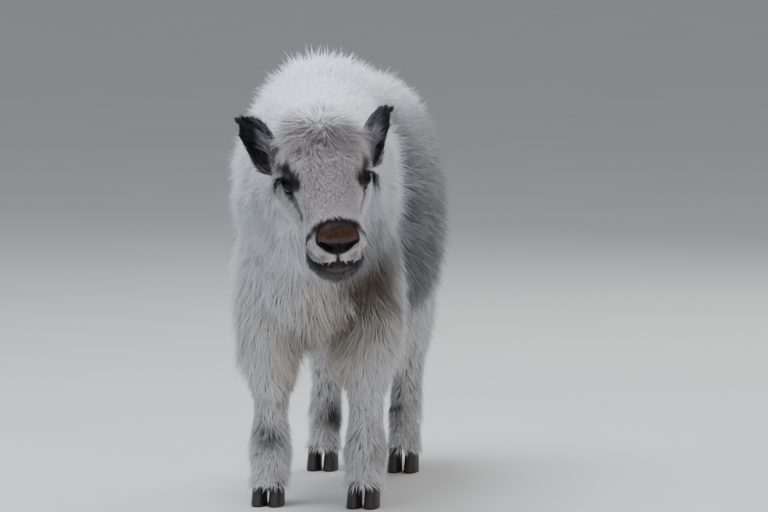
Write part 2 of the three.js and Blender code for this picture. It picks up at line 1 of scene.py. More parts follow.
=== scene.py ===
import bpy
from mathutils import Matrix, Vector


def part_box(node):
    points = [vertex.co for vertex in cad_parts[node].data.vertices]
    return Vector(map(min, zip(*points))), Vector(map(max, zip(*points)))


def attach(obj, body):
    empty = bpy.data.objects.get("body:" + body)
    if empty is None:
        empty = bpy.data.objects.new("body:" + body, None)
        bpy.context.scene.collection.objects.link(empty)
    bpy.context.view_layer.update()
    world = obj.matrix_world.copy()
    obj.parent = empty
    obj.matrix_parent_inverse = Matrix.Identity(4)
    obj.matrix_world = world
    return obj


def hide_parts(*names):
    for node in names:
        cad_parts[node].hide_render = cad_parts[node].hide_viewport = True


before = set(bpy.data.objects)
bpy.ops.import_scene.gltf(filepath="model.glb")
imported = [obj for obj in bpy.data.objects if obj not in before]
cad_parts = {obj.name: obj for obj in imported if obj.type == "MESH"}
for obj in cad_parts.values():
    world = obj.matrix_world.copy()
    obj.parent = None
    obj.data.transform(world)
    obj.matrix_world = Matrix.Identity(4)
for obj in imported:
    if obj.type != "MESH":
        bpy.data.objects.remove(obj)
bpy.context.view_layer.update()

import math
import bpy
import numpy as np
from mathutils import Matrix, Vector

# A young yak calf, facing -Y, its left side at +X. The forms repeat the lofts of the
# part's source in millimetres, and place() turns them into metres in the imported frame.

rng = np.random.default_rng(7)
mm = 0.001
degree = math.pi / 180

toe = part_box("foreleg_left_claw_outer")
frameShift = np.array([toe[1][0] - 0.0970, toe[0][1] + 0.19548, 0.0])


def place(points):
    return np.asarray(points, float) * mm + frameShift


def unit(v):
    return v / np.maximum(np.linalg.norm(v, axis=-1, keepdims=True), 1e-9)


def lengthOf(v):
    return np.linalg.norm(v, axis=-1)


def bell(x):
    # One at nought, falling to nothing on both sides
    return np.exp(-x ** 2)


def ramp(x, low, high):
    t = np.clip((x - low) / (high - low), 0, 1)
    return t * t * (3 - 2 * t)


def mix(a, b, t):
    t = np.asarray(t)[..., None]
    return np.asarray(a) * (1 - t) + np.asarray(b) * t


def around(count):
    return np.linspace(0, 2 * np.pi, count, endpoint=False)


def gridOf(first, second):
    return np.meshgrid(first, second, indexing="ij")


def waves(p, size, seed=0):
    # Sum of sines along slanted directions, from about -1 to 1, one wave each size mm
    turn = np.array([[0.8, 0.5, 0.3], [-0.4, 0.8, 0.5], [0.3, -0.6, 0.75], [0.7, 0.1, -0.7]])
    phase = np.array([0.3, 1.9, 4.1, 5.2]) + 1.7 * seed
    rate = np.array([1.0, 1.37, 0.79, 1.83]) * 2 * np.pi / size
    q = p @ turn.T * rate + phase
    return np.sin(q + 0.8 * np.sin(q[..., ::-1])).mean(-1) * 1.6


# Lofts


class Loft:
    # Rows of place along the axis, side offset, middle, half width, reach above, reach below, coat

    def __init__(self, rows, along=(0, 1, 0), upward=(0, 0, 1), power=2.2, caps=(0, 0), strokes=()):
        self.rows = np.array(rows, float)
        self.along = unit(np.array(along, float))
        up = np.array(upward, float)
        self.up = unit(up - self.along * (up @ self.along))
        self.side = np.cross(self.along, self.up)
        self.power = power
        self.caps = caps
        self.last = len(rows) - 1
        self.strokes = strokes
        fine = np.linspace(0, self.last, 60 * self.last + 1)
        self.fine = fine
        self.fineAlong = self.values(fine)[:, 0]

    def values(self, s):
        # Catmull-Rom between four rows; the last row counts again past each end
        s = np.clip(np.asarray(s, float), 0, self.last)
        i = np.minimum(np.floor(s).astype(int), self.last - 1)
        t = (s - i)[..., None]
        a, b, c, d = [self.rows[np.clip(i + k, 0, self.last)] for k in (-1, 0, 1, 2)]
        return 0.5 * (2 * b + (c - a) * t + (2 * a - 5 * b + 4 * c - d) * t ** 2
                      + (3 * b - a - 3 * c + d) * t ** 3)

    def point(self, s, angle):
        # Superellipse of the row's reaches; beyond the ends the rings shrink as a dome does
        s, angle = np.broadcast_arrays(np.asarray(s, float), np.asarray(angle, float))
        v = self.values(s)
        over = np.maximum(np.maximum(-s, s - self.last), 0)
        cap = np.where(s < 0, -self.caps[0], self.caps[1])
        shrink = np.sqrt(np.maximum(1 - over ** 2, 0))
        c, n = np.cos(angle), np.sin(angle)
        x = np.sign(c) * np.abs(c) ** (2 / self.power) * v[..., 3] * shrink
        reach = np.where(n > 0, v[..., 4], v[..., 5])
        z = np.sign(n) * np.abs(n) ** (2 / self.power) * reach * shrink
        p = ((v[..., 0] + over * cap)[..., None] * self.along
             + (v[..., 1] + x)[..., None] * self.side + (v[..., 2] + z)[..., None] * self.up)
        return self.shape(p)

    def shape(self, p):
        for at, reach, move in self.strokes:
            for hand in ((1, -1) if at[0] else (1,)):
                d = (p * [hand, 1, 1] - np.array(at)) / np.array(reach)
                p = p + np.exp(-(d ** 2).sum(-1))[..., None] * np.array(move) * [hand, 1, 1]
        return p

    def patch(self, s, angle):
        # Cross product of the two surface directions, outwards, as long as the patch is large
        ds = self.point(s + 0.02, angle) - self.point(s - 0.02, angle)
        da = self.point(s, angle + 0.02) - self.point(s, angle - 0.02)
        return np.cross(ds, da)

    def normal(self, s, angle):
        return unit(self.patch(np.clip(s, -0.9, self.last + 0.9), angle))

    def holds(self, p, extra):
        # True where a point is inside, or within the extra: its superellipse sum is under one
        at = p @ self.along
        s = np.interp(at, self.fineAlong, self.fine)
        v = self.values(s)
        x = (p @ self.side - v[:, 1]) / (v[:, 3] + extra)
        z = p @ self.up - v[:, 2]
        z = z / (np.where(z > 0, v[:, 4], v[:, 5]) + extra)
        inside = np.abs(x) ** self.power + np.abs(z) ** self.power < 1
        low, high = self.fineAlong[0] - self.caps[0] * 0.8, self.fineAlong[-1] + self.caps[1] * 0.8
        return inside & (at > low) & (at < high)

    def stops(self, rings):
        # Ring places with domes at the ends, closer together towards each tip
        dome = np.sin(np.linspace(0, 1, 9)[1:-1] * np.pi / 2)
        parts = [-dome[::-1]] if self.caps[0] else []
        parts.append(np.linspace(0, self.last, rings))
        if self.caps[1]:
            parts.append(self.last + dome)
        return np.concatenate(parts)


def tubeFaces(rings, sides):
    i, j = gridOf(np.arange(rings - 1), np.arange(sides))
    k = (j + 1) % sides
    near, far = i * sides, (i + 1) * sides
    return np.stack([near + j, near + k, far + k, far + j], -1).reshape(-1, 4)


def closedTube(grid):
    # Quads round the rings and a fan from the middle of each end ring
    rings, sides = grid.shape[:2]
    points = np.concatenate([grid.reshape(-1, 3), grid[0].mean(0)[None], grid[-1].mean(0)[None]])
    j = np.arange(sides)
    k = (j + 1) % sides
    start = np.stack([np.full(sides, rings * sides), k, j], -1)
    top = (rings - 1) * sides
    end = np.stack([np.full(sides, rings * sides + 1), top + j, top + k], -1)
    return points, facingOut(points, [tubeFaces(rings, sides), start, end])


def facingOut(points, faceSets):
    # The signed volume of fans from the first corner tells which way the faces turn
    volume = 0
    for f in faceSets:
        for k in range(1, f.shape[1] - 1):
            a, b, c = points[f[:, 0]], points[f[:, k]], points[f[:, k + 1]]
            volume += (np.cross(a, b) * c).sum()
    return [f[:, ::-1] for f in faceSets] if volume < 0 else faceSets


def linked(name, data):
    piece = bpy.data.objects.new(name, data)
    bpy.context.scene.collection.objects.link(piece)
    return piece


def meshObject(name, points, faceSets):
    # A smooth mesh straight from arrays: each set of faces has one number of corners
    mesh = bpy.data.meshes.new(name)
    mesh.vertices.add(len(points))
    mesh.vertices.foreach_set("co", np.asarray(points, np.float32).ravel())
    corners = np.concatenate([f.ravel() for f in faceSets]).astype(np.int32)
    counts = np.concatenate([np.full(len(f), f.shape[1]) for f in faceSets]).astype(np.int32)
    mesh.loops.add(len(corners))
    mesh.loops.foreach_set("vertex_index", corners)
    mesh.polygons.add(len(counts))
    starts = np.concatenate([[0], np.cumsum(counts)[:-1]])
    mesh.polygons.foreach_set("loop_start", starts.astype(np.int32))
    mesh.update(calc_edges=True)
    mesh.polygons.foreach_set("use_smooth", np.full(len(counts), True))
    return linked(name, mesh)


def paint(piece, colours):
    # Linear colours by point, in the attribute that the materials read
    layer = piece.data.color_attributes.new("markings", "FLOAT_COLOR", "POINT")
    data = np.ones((len(colours), 4), np.float32)
    data[:, :3] = colours
    layer.data.foreach_set("color", data.ravel())


# Driving sizes, as in the part's source

hands = (("left", 1), ("right", -1))
hoofHeight = 36
footSpread = {"fore": 72, "hind": 64}
footY = {"fore": -158, "hind": 268}
headPlace = np.array([59.5, -418.0, 493.0])
headTurn, headDrop, headRoll = 20.4 * degree, 37 * degree, 4.6 * degree
eyeRadius, eyeOut, eyeUp = 14.5, 50, 20
mouthLevel = -29
padMiddle, padReach = np.array([0, -111, 9]), np.array([35, 25, 23])


def torsoRow(y, top, bottom, half, coat):
    middle = top * 0.34 + bottom * 0.66
    return [y, 0, middle, half, top - middle, middle - bottom, coat]


torso = Loft([
    torsoRow(-226, 470, 350, 34, 34),
    torsoRow(-204, 526, 320, 58, 40),
    torsoRow(-168, 588, 288, 77, 44),
    torsoRow(-110, 632, 268, 87, 46),
    torsoRow(-40, 620, 264, 100, 46),
    torsoRow(40, 596, 268, 111, 44),
    torsoRow(120, 584, 280, 112, 42),
    torsoRow(200, 594, 300, 102, 42),
    torsoRow(270, 584, 338, 88, 40),
    torsoRow(322, 548, 392, 62, 36),
], power=2.25, caps=(12, 22))

headStrokes = [
    ((44, -12, 48), (18, 20, 14), (3, 0, 4)),
    ((62, -8, 16), (16, 20, 16), (-3, 0, 0)),
    ((44, -52, 2), (14, 24, 22), (-5, 0, 0)),
    ((54, 20, -36), (22, 34, 26), (5, 0, 0)),
    ((31, -110, -2), (15, 18, 18), (5, -2, 0)),
    ((0, -64, 44), (16, 40, 14), (0, 0, 3)),
    ((0, -110, -60), (26, 18, 14), (0, -5, -2)),
]
head = Loft([
    [-116, 0, -16, 33, 34, 42, 2.5],
    [-101, 0, -16, 39, 42, 50, 3],
    [-78, 0, -11, 40, 45, 54, 4],
    [-46, 0, -5, 45, 50, 59, 6],
    [-16, 0, 0, 53, 57, 65, 8],
    [14, 0, 0, 59, 62, 67, 10],
    [44, 0, 0, 59, 62, 63, 13],
    [74, 0, 2, 51, 54, 50, 16],
    [96, 0, 4, 38, 38, 36, 16],
], power=2.35, caps=(10, 14), strokes=headStrokes)
headFrame = (Matrix.Rotation(headTurn, 3, "Z") @ Matrix.Rotation(headDrop, 3, "X")
             @ Matrix.Rotation(-headRoll, 3, "Y"))
headFrame = np.array(headFrame)


def fromHead(p):
    return np.asarray(p, float) @ headFrame.T + headPlace


def toHead(p):
    return (np.asarray(p, float) - headPlace) @ headFrame


nape = fromHead([0, 84, -2])
neckRoot = np.array([0.0, -150.0, 476.0])
neckAlong = unit(neckRoot - nape)
neckUp = unit(np.array([0, 0, 1.0]) - neckAlong * neckAlong[2])
neckSide = np.cross(neckAlong, neckUp)


def neckRow(share, rise, half, above, below, coat):
    p = nape * (1 - share) + neckRoot * share
    return [p @ neckAlong, p @ neckSide, p @ neckUp + rise, half, above, below, coat]


neck = Loft([
    neckRow(0, 0, 50, 60, 60, 22),
    neckRow(0.28, 4, 56, 72, 80, 30),
    neckRow(0.55, 6, 66, 92, 106, 38),
    neckRow(0.8, 4, 78, 116, 132, 42),
    neckRow(1, 0, 82, 122, 140, 44),
], along=neckAlong, upward=neckUp)

legRows = {
    "fore": [
        [36.3, 1, 158, 20, 22, 24, 14], [62, 1, 152, 19, 18, 21, 15], [90, 1, 147, 20, 19, 22, 16],
        [140, 1, 144, 15, 16, 17, 14], [180, 1, 145, 18, 20, 19, 16], [216, 1, 146, 23, 25, 22, 24],
        [256, 1, 142, 28, 28, 31, 34], [316, 1, 138, 30, 40, 48, 34], [378, 0.93, 142, 28, 52, 58, 34],
        [440, 0.84, 142, 24, 44, 50, 36],
    ],
    "hind": [
        [36.3, 1, -268, 20, 22, 24, 12], [62, 1, -276, 17, 18, 20, 11], [90, 1, -282, 17, 18, 20, 13],
        [140, 1, -290, 14, 16, 17, 13], [188, 1, -296, 17, 20, 23, 16], [224, 1, -296, 21, 27, 26, 22],
        [268, 1, -284, 25, 33, 34, 28], [326, 1, -262, 28, 56, 52, 32], [392, 0.92, -246, 32, 70, 66, 36],
        [452, 0.84, -238, 32, 58, 58, 38],
    ],
}
legs = {}
for end in ("fore", "hind"):
    for name, hand in hands:
        rows = [[r[0], r[1] * footSpread[end] * hand] + r[2:] for r in legRows[end]]
        legs[end + name] = Loft(rows, along=(0, 0, 1), upward=(0, -1, 0), power=2.1, caps=(0, 30))

tail = Loft([
    [268, 6, -366, 8, 8, 8, 26],
    [330, 5, -372, 9, 9, 9, 28],
    [400, 3, -374, 10, 10, 10, 26],
    [470, 1, -366, 13, 13, 13, 24],
    [520, 0, -346, 16, 18, 18, 22],
    [540, 0, -322, 17, 22, 22, 20],
], along=(0, 0, 1), upward=(0, -1, 0), power=2, caps=(12, 10))

# Colours


def shade(red, green, blue):
    # From screen values to linear light
    c = np.array([red, green, blue])
    return np.where(c <= 0.04045, c / 12.92, ((c + 0.055) / 1.055) ** 2.4)


def mouthHeight(p):
    # The mouth line rises towards its corners
    return mouthLevel + 7 * ramp(p[..., 1], -112, -74)


white = shade(0.945, 0.955, 0.99)
cream = shade(0.86, 0.83, 0.79)
slate = shade(0.21, 0.205, 0.24)
ash = shade(0.54, 0.54, 0.59)
shadedUmber = shade(0.25, 0.19, 0.10)
shadedBeige = shade(0.70, 0.64, 0.54)
soot = shade(0.085, 0.08, 0.10)
fawn = shade(0.87, 0.84, 0.845)


def blot(p, at, reach):
    # A soft round patch, its edge pushed about by waves
    d = (p - np.array(at)) / np.array(reach)
    return np.clip(np.exp(-(d ** 2).sum(-1)) * (1 + 0.35 * waves(p, 38, 11)), 0, 1)


def chestPatchesAndShade(c, p):
    # Brown inside the left shoulder, dirty hair with painted shade in it; a painted shadow in the right crease;
    # beige down the middle, a tint with painted shade
    front = 1 - ramp(p[:, 1], -170, -110)
    # Beige down the middle of the chest: a yellow tint with painted shade
    c = mix(c, shadedBeige, 0.8 * front * blot(p, (28, -240, 330), (62, 400, 70)))
    # Brown, dirty hair inside the left shoulder, darkened further as painted shade
    c = mix(c, shadedUmber, 0.95 * front * blot(p, (68, -240, 340), (34, 400, 76)))
    c = mix(c, shade(0.30, 0.275, 0.27), 0.8 * front * blot(p, (90, -260, 420), (36, 90, 42)))
    # Painted shadow: grey in the crease between the chest and the right foreleg
    return mix(c, shade(0.38, 0.35, 0.34), 0.7 * front * blot(p, (-28, -220, 276), (20, 400, 28)))


def bodyMarkings(p):
    # White along the back and below; a slate flank whose edge is broken by waves; a brown chest, partly painted
    # shade
    x, y, z = p[:, 0], p[:, 1], p[:, 2]
    wander = 15 * waves(p, 120) + 8 * waves(p, 37, 1)
    c = np.repeat(white[None], len(p), 0)
    ridge = 592 + 30 * ramp(y, -60, 120) - 24 * ramp(y, 200, 320)
    flank = (ramp(y + wander, -165, -85) * (1 - ramp(y + wander, 300, 350))
             * (1 - ramp(z + wander + 0.25 * np.abs(x), ridge, ridge + 60)) * ramp(z + wander, 272, 345)
             * ramp(np.abs(x), 34, 78))
    c = mix(c, slate, 0.93 * flank * (1 - 0.25 * ramp(waves(p, 52, 12), 0.2, 0.9)))
    back = ramp(y, -20, 80) * ramp(z, 540, 600) * (0.35 + 0.2 * waves(p, 60, 2))
    c = mix(c, ash, np.clip(back, 0, 1))
    grey = bell((y + 150) / 80) * bell((z - 520) / 50) * ramp(np.abs(x), 40, 90)
    c = mix(c, ash, 0.45 * grey)
    c = chestPatchesAndShade(c, p)
    under = (1 - ramp(z, 262, 330)) * (1 - ramp(y, -150, 250) * 0.4)
    return mix(c, cream, 0.5 * under)


# Place, reach and strength of the dark patches low on the legs
legPatches = {
    "fore": [((-72, -168, 112), (22, 16, 20), 0.9), ((96, -134, 92), (18, 22, 28), 0.95),
             ((-96, -128, 92), (14, 18, 26), 0.95)],
    "hind": [((44, 262, 112), (22, 34, 40), 0.95), ((-50, 270, 92), (16, 20, 26), 0.95)],
}


def legMarkings(p, end):
    # Cream-white with a beige inside, partly painted shade between the legs; dark patches, and faint ticking low
    # down
    x, y, z = p[:, 0], p[:, 1], p[:, 2]
    c = np.repeat(mix(white, cream, 0.45)[None], len(p), 0)
    c = mix(c, bodyMarkings(p), ramp(z + 14 * waves(p, 60, 17), 310, 390))
    inner = ramp(footSpread[end] - np.abs(x), -6, 22)
    # Beige on the inner side of each leg: a tint with painted shade between the legs
    c = mix(c, shadedBeige, 0.55 * inner * ramp(z, 120, 220))
    dark = shade(0.19, 0.165, 0.15)
    for at, reach, strength in legPatches[end]:
        c = mix(c, dark, strength * blot(p, at, reach))
    if end == "fore":
        c = chestPatchesAndShade(c, p)
    ticking = np.clip(waves(p * [1, 1, 0.4], 22, 4), 0, 1) * (1 - ramp(z, 180, 260))
    return mix(c, shade(0.58, 0.55, 0.54), 0.4 * ticking)


def neckMarkings(p):
    # White; a beige throat, partly painted shade under the head; and smoke drawn out along the hair
    c = np.repeat(white[None], len(p), 0)
    x, y, z = p[:, 0], p[:, 1], p[:, 2]
    # Beige low on the throat: a tint with painted shade under the head
    c = mix(c, shadedBeige, 0.5 * (1 - ramp(z, 320, 440)) * bell((x - 30) / 60))
    smoke = np.clip(0.45 + waves(p * [1, 1, 0.45], 34, 5), 0, 1) * (1 - ramp(z, 540, 610))
    c = mix(c, ash, 0.42 * smoke)
    c = mix(c, slate, 0.7 * ramp(-x, 78, 108) * ramp(y, -330, -250) * ramp(z, 370, 420))
    return chestPatchesAndShade(c, p)


def faceMarkings(p):
    # In the head's own frame: pale fawn, dark brows and tear marks, dark rim, lips and chin, and a painted shadow
    # in the groove under the nose
    x, y, z = np.abs(p[:, 0]), p[:, 1], p[:, 2]
    q = np.stack([x, y, z], -1)
    c = np.repeat(fawn[None], len(p), 0)
    forehead = ramp(z, 20, 44) * (1 - ramp(x, 24, 44)) * (1 - ramp(y, 50, 90))
    c = mix(c, shade(0.72, 0.68, 0.69), 0.6 * forehead)
    c = mix(c, white, 0.75 * ramp(y + 0.4 * z, 82, 126))
    c = mix(c, white, 0.6 * bell((z - 4) / 24) * ramp(x, 30, 44) * (1 - ramp(y, -40, 0)))

    def streak(a, b, wide):
        # Distance from a line between two points, turned into a soft mask
        a, b = np.array(a, float), np.array(b, float)
        t = np.clip((q - a) @ (b - a) / ((b - a) @ (b - a)), 0, 1)
        d = lengthOf(q - (a + t[:, None] * (b - a)))
        return 1 - ramp(d + 1.5 * waves(p, 11, 7), wide * 0.5, wide * 1.35)

    c = mix(c, shade(0.11, 0.095, 0.10), 0.97 * streak((45, -18, 36), (62, 36, 38), 12.5))
    c = mix(c, shade(0.07, 0.055, 0.06), 0.98 * streak((53, -17, 16), (56, 4, 16), 12.5))
    c = mix(c, shade(0.26, 0.235, 0.24), 0.72 * streak((47, -32, 10), (43, -50, -1), 8))
    rim = lengthOf((q - padMiddle) / padReach)
    rimBand = 1 - ramp(rim + 0.05 * waves(p, 7, 9), 1.06, 1.3)
    c = mix(c, shade(0.10, 0.085, 0.09), 0.97 * rimBand * ramp(z, 8, 18))
    c = mix(c, shade(0.16, 0.145, 0.17), 0.93 * streak((39, -104, 20), (43, -98, -8), 7))
    lipStreak = streak((22, -122, -20), (38, -104, -18), 9) * (z < mouthLevel + 20)
    c = mix(c, shade(0.52, 0.49, 0.47), 0.75 * lipStreak)
    below = mouthHeight(p) - z
    front = 1 - ramp(y, -84, -62)
    lip = ramp(below, -1.5, 0.5) * (1 - ramp(below, 9, 13)) * front
    chin = ramp(below, 8, 11) * (1 - ramp(below, 24, 34)) * front
    c = mix(c, shade(0.05, 0.04, 0.045), 0.97 * lip)
    c = mix(c, shade(0.19, 0.17, 0.165), 0.85 * chin)
    # Painted shadow: near black down the groove between the nose and the mouth
    groove = (1 - ramp(x, 2.5, 5)) * (below < 1) * (z < 4) * (y < -100)
    return mix(c, shade(0.03, 0.025, 0.03), 0.95 * groove)


def faceStrandMarkings(p):
    # Dark single hairs on the forehead, most of them at the whorl
    c = faceMarkings(p)
    top = ramp(p[:, 2], 22, 46) * (1 - ramp(np.abs(p[:, 0]), 30, 56)) * (1 - ramp(p[:, 1], 66, 96))
    near = bell(lengthOf(p - [0, 70, 58]) / 24)
    chance = 0.035 + 0.30 * top * ramp(p[:, 1], -60, 30) + 0.6 * near
    dark = (rng.random(len(p)) < chance) * (0.5 + 0.4 * rng.random(len(p)))
    return mix(c, shade(0.24, 0.20, 0.19), dark)


def earMarkings(p, share, inside):
    # Black from a third of the way to the tip, grey-brown below
    c = np.repeat(soot[None], len(p), 0)
    c = mix(c, shade(0.36, 0.34, 0.37), (1 - ramp(share + 0.08 * waves(p, 16, 13), 0.18, 0.40)) * 0.9)
    return mix(c, shade(0.13, 0.12, 0.13), 0.4 * inside)


# Materials


def setInputs(node, values):
    for name, value in values.items():
        node.inputs[name].default_value = value


def nodesOf(name):
    material = bpy.data.materials.new(name)
    material.use_nodes = True
    nodes, links = material.node_tree.nodes, material.node_tree.links
    return material, nodes, links, nodes["Principled BSDF"]


def markingsOutput(nodes):
    colour = nodes.new("ShaderNodeVertexColor")
    colour.layer_name = "markings"
    return colour.outputs["Color"]


def addBump(nodes, links, surface, height, strength, distance):
    relief = nodes.new("ShaderNodeBump")
    setInputs(relief, {"Strength": strength, "Distance": distance})
    links.new(height, relief.inputs["Height"])
    links.new(relief.outputs["Normal"], surface.inputs["Normal"])


def hairMaterial(name, roughness=0.78, sheen=0.25):
    # Markings by point, made lighter and darker by noise
    material, nodes, links, surface = nodesOf(name)
    noise = nodes.new("ShaderNodeTexNoise")
    noise.inputs["Scale"].default_value = 260
    spread = nodes.new("ShaderNodeMapRange")
    setInputs(spread, {"To Min": 0.78, "To Max": 1.16})
    value = nodes.new("ShaderNodeVectorMath")
    value.operation = "SCALE"
    links.new(noise.outputs["Fac"], spread.inputs["Value"])
    links.new(markingsOutput(nodes), value.inputs[0])
    links.new(spread.outputs["Result"], value.inputs["Scale"])
    links.new(value.outputs["Vector"], surface.inputs["Base Color"])
    setInputs(surface, {"Roughness": roughness, "Specular IOR Level": 0.25, "Sheen Weight": sheen,
                        "Sheen Roughness": 0.5})
    return material


def plainMaterial(name, dark, light, scale, roughness, bump=0.0, coat=0.0, stretch=(1, 1, 1),
                  specular=0.5):
    # Two tones mixed by noise, the same noise as bump
    material, nodes, links, surface = nodesOf(name)
    texturePlace = nodes.new("ShaderNodeTexCoord")
    scaleNode = nodes.new("ShaderNodeVectorMath")
    scaleNode.operation = "MULTIPLY"
    scaleNode.inputs[1].default_value = stretch
    noise = nodes.new("ShaderNodeTexNoise")
    setInputs(noise, {"Scale": scale, "Detail": 6})
    blend = nodes.new("ShaderNodeMix")
    blend.data_type = "RGBA"
    blend.inputs[6].default_value = (*dark, 1)
    blend.inputs[7].default_value = (*light, 1)
    links.new(texturePlace.outputs["Object"], scaleNode.inputs[0])
    links.new(scaleNode.outputs["Vector"], noise.inputs["Vector"])
    links.new(noise.outputs["Fac"], blend.inputs["Factor"])
    links.new(blend.outputs[2], surface.inputs["Base Color"])
    setInputs(surface, {"Roughness": roughness, "Specular IOR Level": specular, "Coat Weight": coat,
                        "Coat Roughness": 0.08})
    if bump:
        addBump(nodes, links, surface, noise.outputs["Fac"], bump, 0.001)
    return material


furMaterial = hairMaterial("woolHair")
faceMaterial = hairMaterial("faceHair", roughness=0.7, sheen=0.12)
skinMaterial = hairMaterial("skin", roughness=0.85, sheen=0.0)


def finished(piece, material, replaced=()):
    piece.data.materials.clear()  # the union leaves an empty slot
    piece.data.materials.append(material)
    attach(piece, "root")
    if replaced:
        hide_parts(*replaced)


# Skin: the lofts without their coat, joined and made one by a voxel remesh

print("skin")
bodySkin = {"rings": 90, "sides": 72, "voxel": 0.005}
pieces = []
for loft in [torso, neck, tail, *legs.values()]:
    s = loft.stops(bodySkin["rings"])
    grid = loft.point(s[:, None], around(bodySkin["sides"])[None, :])
    points, faces = closedTube(place(grid))
    pieces.append(meshObject("part", points, faces))


def applied(piece):
    # Modifiers made part of the mesh
    graph = bpy.context.evaluated_depsgraph_get()
    made = bpy.data.meshes.new_from_object(piece.evaluated_get(graph))
    piece.modifiers.clear()
    old = piece.data
    piece.data = made
    made.name = piece.name
    bpy.data.meshes.remove(old)


bpy.ops.object.select_all(action="DESELECT")
for piece in pieces:
    piece.select_set(True)
skin = pieces[0]
bpy.context.view_layer.objects.active = skin
bpy.ops.object.join()
skin.name = skin.data.name = "skin"
remesh = skin.modifiers.new("remesh", "REMESH")
remesh.mode = "VOXEL"
remesh.voxel_size = bodySkin["voxel"]
soften = skin.modifiers.new("soften", "SMOOTH")
soften.iterations = 6
applied(skin)

# The head's skin, fine enough for lips and the sockets

headSkin = {"rings": 230, "sides": 200, "mouthDepth": 5.5, "mouthHalf": 1.7, "lipSwell": 2.2}


def carveHead(p):
    # Lips swell on both sides of the mouth line, which is pressed in; a groove runs up to the nose
    outward = unit(p * [1, 1, 0] - np.array([0, -80, 0]))
    front = 1 - ramp(p[..., 1], -80, -64)
    gapTo = p[..., 2] - mouthHeight(p)
    swell = headSkin["lipSwell"] * bell((gapTo - 5) / 4.5) + 1.2 * bell((gapTo + 7) / 6)
    cut = headSkin["mouthDepth"] * bell(gapTo / headSkin["mouthHalf"])
    p = p + outward * (front * (swell - cut))[..., None]
    bed = 1 - ramp(np.hypot(p[..., 0] / 32, (p[..., 2] - 6) / 20), 0.72, 1.04)
    p = p + np.array([0, 15.0, 0]) * (bed * (1 - ramp(p[..., 1], -112, -98)))[..., None]
    groove = bell(p[..., 0] / 2.0) * ramp(gapTo, 0, 3) * (1 - ramp(p[..., 2], 0, 8))
    return p + np.array([0, 3.4, 0]) * (groove * (1 - ramp(p[..., 1], -118, -104)))[..., None]


s = head.stops(headSkin["rings"])
grid = carveHead(head.point(s[:, None], around(headSkin["sides"])[None, :]))
points, faces = closedTube(place(fromHead(grid)))
skull = meshObject("skull", points, faces)
union = skin.modifiers.new("union", "BOOLEAN")
union.operation = "UNION"
union.solver = "MANIFOLD"
union.object = skull
applied(skin)
bpy.data.objects.remove(skull)
co = np.empty(len(skin.data.vertices) * 3, np.float32)
skin.data.vertices.foreach_get("co", co)
skinPoints = (co.reshape(-1, 3).astype(float) - frameShift) / mm


def markingsOf(p):
    # Each point takes the markings of the part it lies on
    local = toHead(p)
    c = bodyMarkings(p)
    onNeck = neck.holds(p, 3)
    c[onNeck] = neckMarkings(p[onNeck])
    for name, loft in legs.items():
        on = loft.holds(p, 3) & (p[:, 2] < 380)
        c[on] = legMarkings(p[on], name[:4])
    onHead = (local[:, 1] < 90) & (lengthOf(local) < 160)
    c[onHead] = faceMarkings(local[onHead])
    return c


paint(skin, markingsOf(skinPoints) * 0.62)
skin.data.polygons.foreach_set("use_smooth", np.full(len(skin.data.polygons), True))
fleshNodes = ["torso", "neck", "head", "tail_dock", "tail_switch"]
fleshNodes += [f"{end}leg_{name}_{part}" for end in ("fore", "hind") for name in ("left", "right")
               for part in ("upper", "lower")]
finished(skin, skinMaterial, fleshNodes)

# Coat: thin spindles, each a closed solid: a point at the root, a triangle in the middle, a point at the tip

strandFaces = np.array([[0, 1, 2], [0, 2, 3], [0, 3, 1], [4, 2, 1], [4, 3, 2], [4, 1, 3]])
patch = np.array([[0, -1], [-0.8, -0.1], [0.8, -0.1], [0, 0.35], [0, 1]]) * 0.0015
lowest = 0.6  # mm above the floor that no hair passes


def strands(name, root, middle, tip, normal, width, colour, tipColour, uv, material, slot, rootShade=0.5):
    # The middle triangle lies across the strand; world millimetres
    forward = unit(middle - root)
    across = unit(np.cross(forward, normal) + 1e-6)
    lift = unit(np.cross(across, forward))
    w = width[:, None]
    half = across * w * 0.5
    points = np.stack([root, middle - half, middle + half, middle + lift * w * 0.4, tip], 1)
    points[..., 2] = np.maximum(points[..., 2], lowest)
    count = len(points)
    faces = (strandFaces[None] + 5 * np.arange(count)[:, None, None]).reshape(-1, 3)
    piece = meshObject(name, place(points.reshape(-1, 3)), [faces])
    # Roots darkened by the root factor, half by default, as painted shade where hairs crowd at the skin; middles
    # slightly darker, tips slightly lighter
    tones = np.stack([colour * rootShade, colour * 0.95, colour * 0.95, colour, tipColour], 1)
    paint(piece, tones.reshape(-1, 3))
    layer = piece.data.uv_layers.new(name="OFBake")
    corners = (uv[:, None] + patch[None]).reshape(-1, 2)[faces.ravel()]
    layer.data.foreach_set("uv", corners.astype(np.float32).ravel())
    # Shading normals lean from the strand's own towards the skin's, which softens the coat
    own = np.stack([normal, -across, across, lift, unit(tip - middle)], 1)
    soft = unit(own * 0.5 + normal[:, None] * 1.0 + unit(tip - root)[:, None] * 0.15)
    piece.data.normals_split_custom_set_from_vertices(soft.reshape(-1, 3).astype(np.float32))
    finished(piece, material)


def headStrands(name, root, middle, tip, out, width, *rest, **how):
    # The same in the head's own frame, all of one width
    strands(name, fromHead(root), fromHead(middle), fromHead(tip), out @ headFrame.T,
            np.full(len(root), width), *rest, **how)


noiseTable = rng.random((4096, 3))


def scatter(loft, count, low, high, spare=3, angles=(0, 2 * np.pi)):
    # Even over the surface: candidates are kept by their share of the largest area element
    s = low + (high - low) * rng.random(count * spare)
    angle = angles[0] + (angles[1] - angles[0]) * rng.random(count * spare)
    area = lengthOf(loft.patch(s, angle))
    keep = rng.random(len(s)) < area / np.quantile(area, 0.98)
    return s[keep][:count], angle[keep][:count]


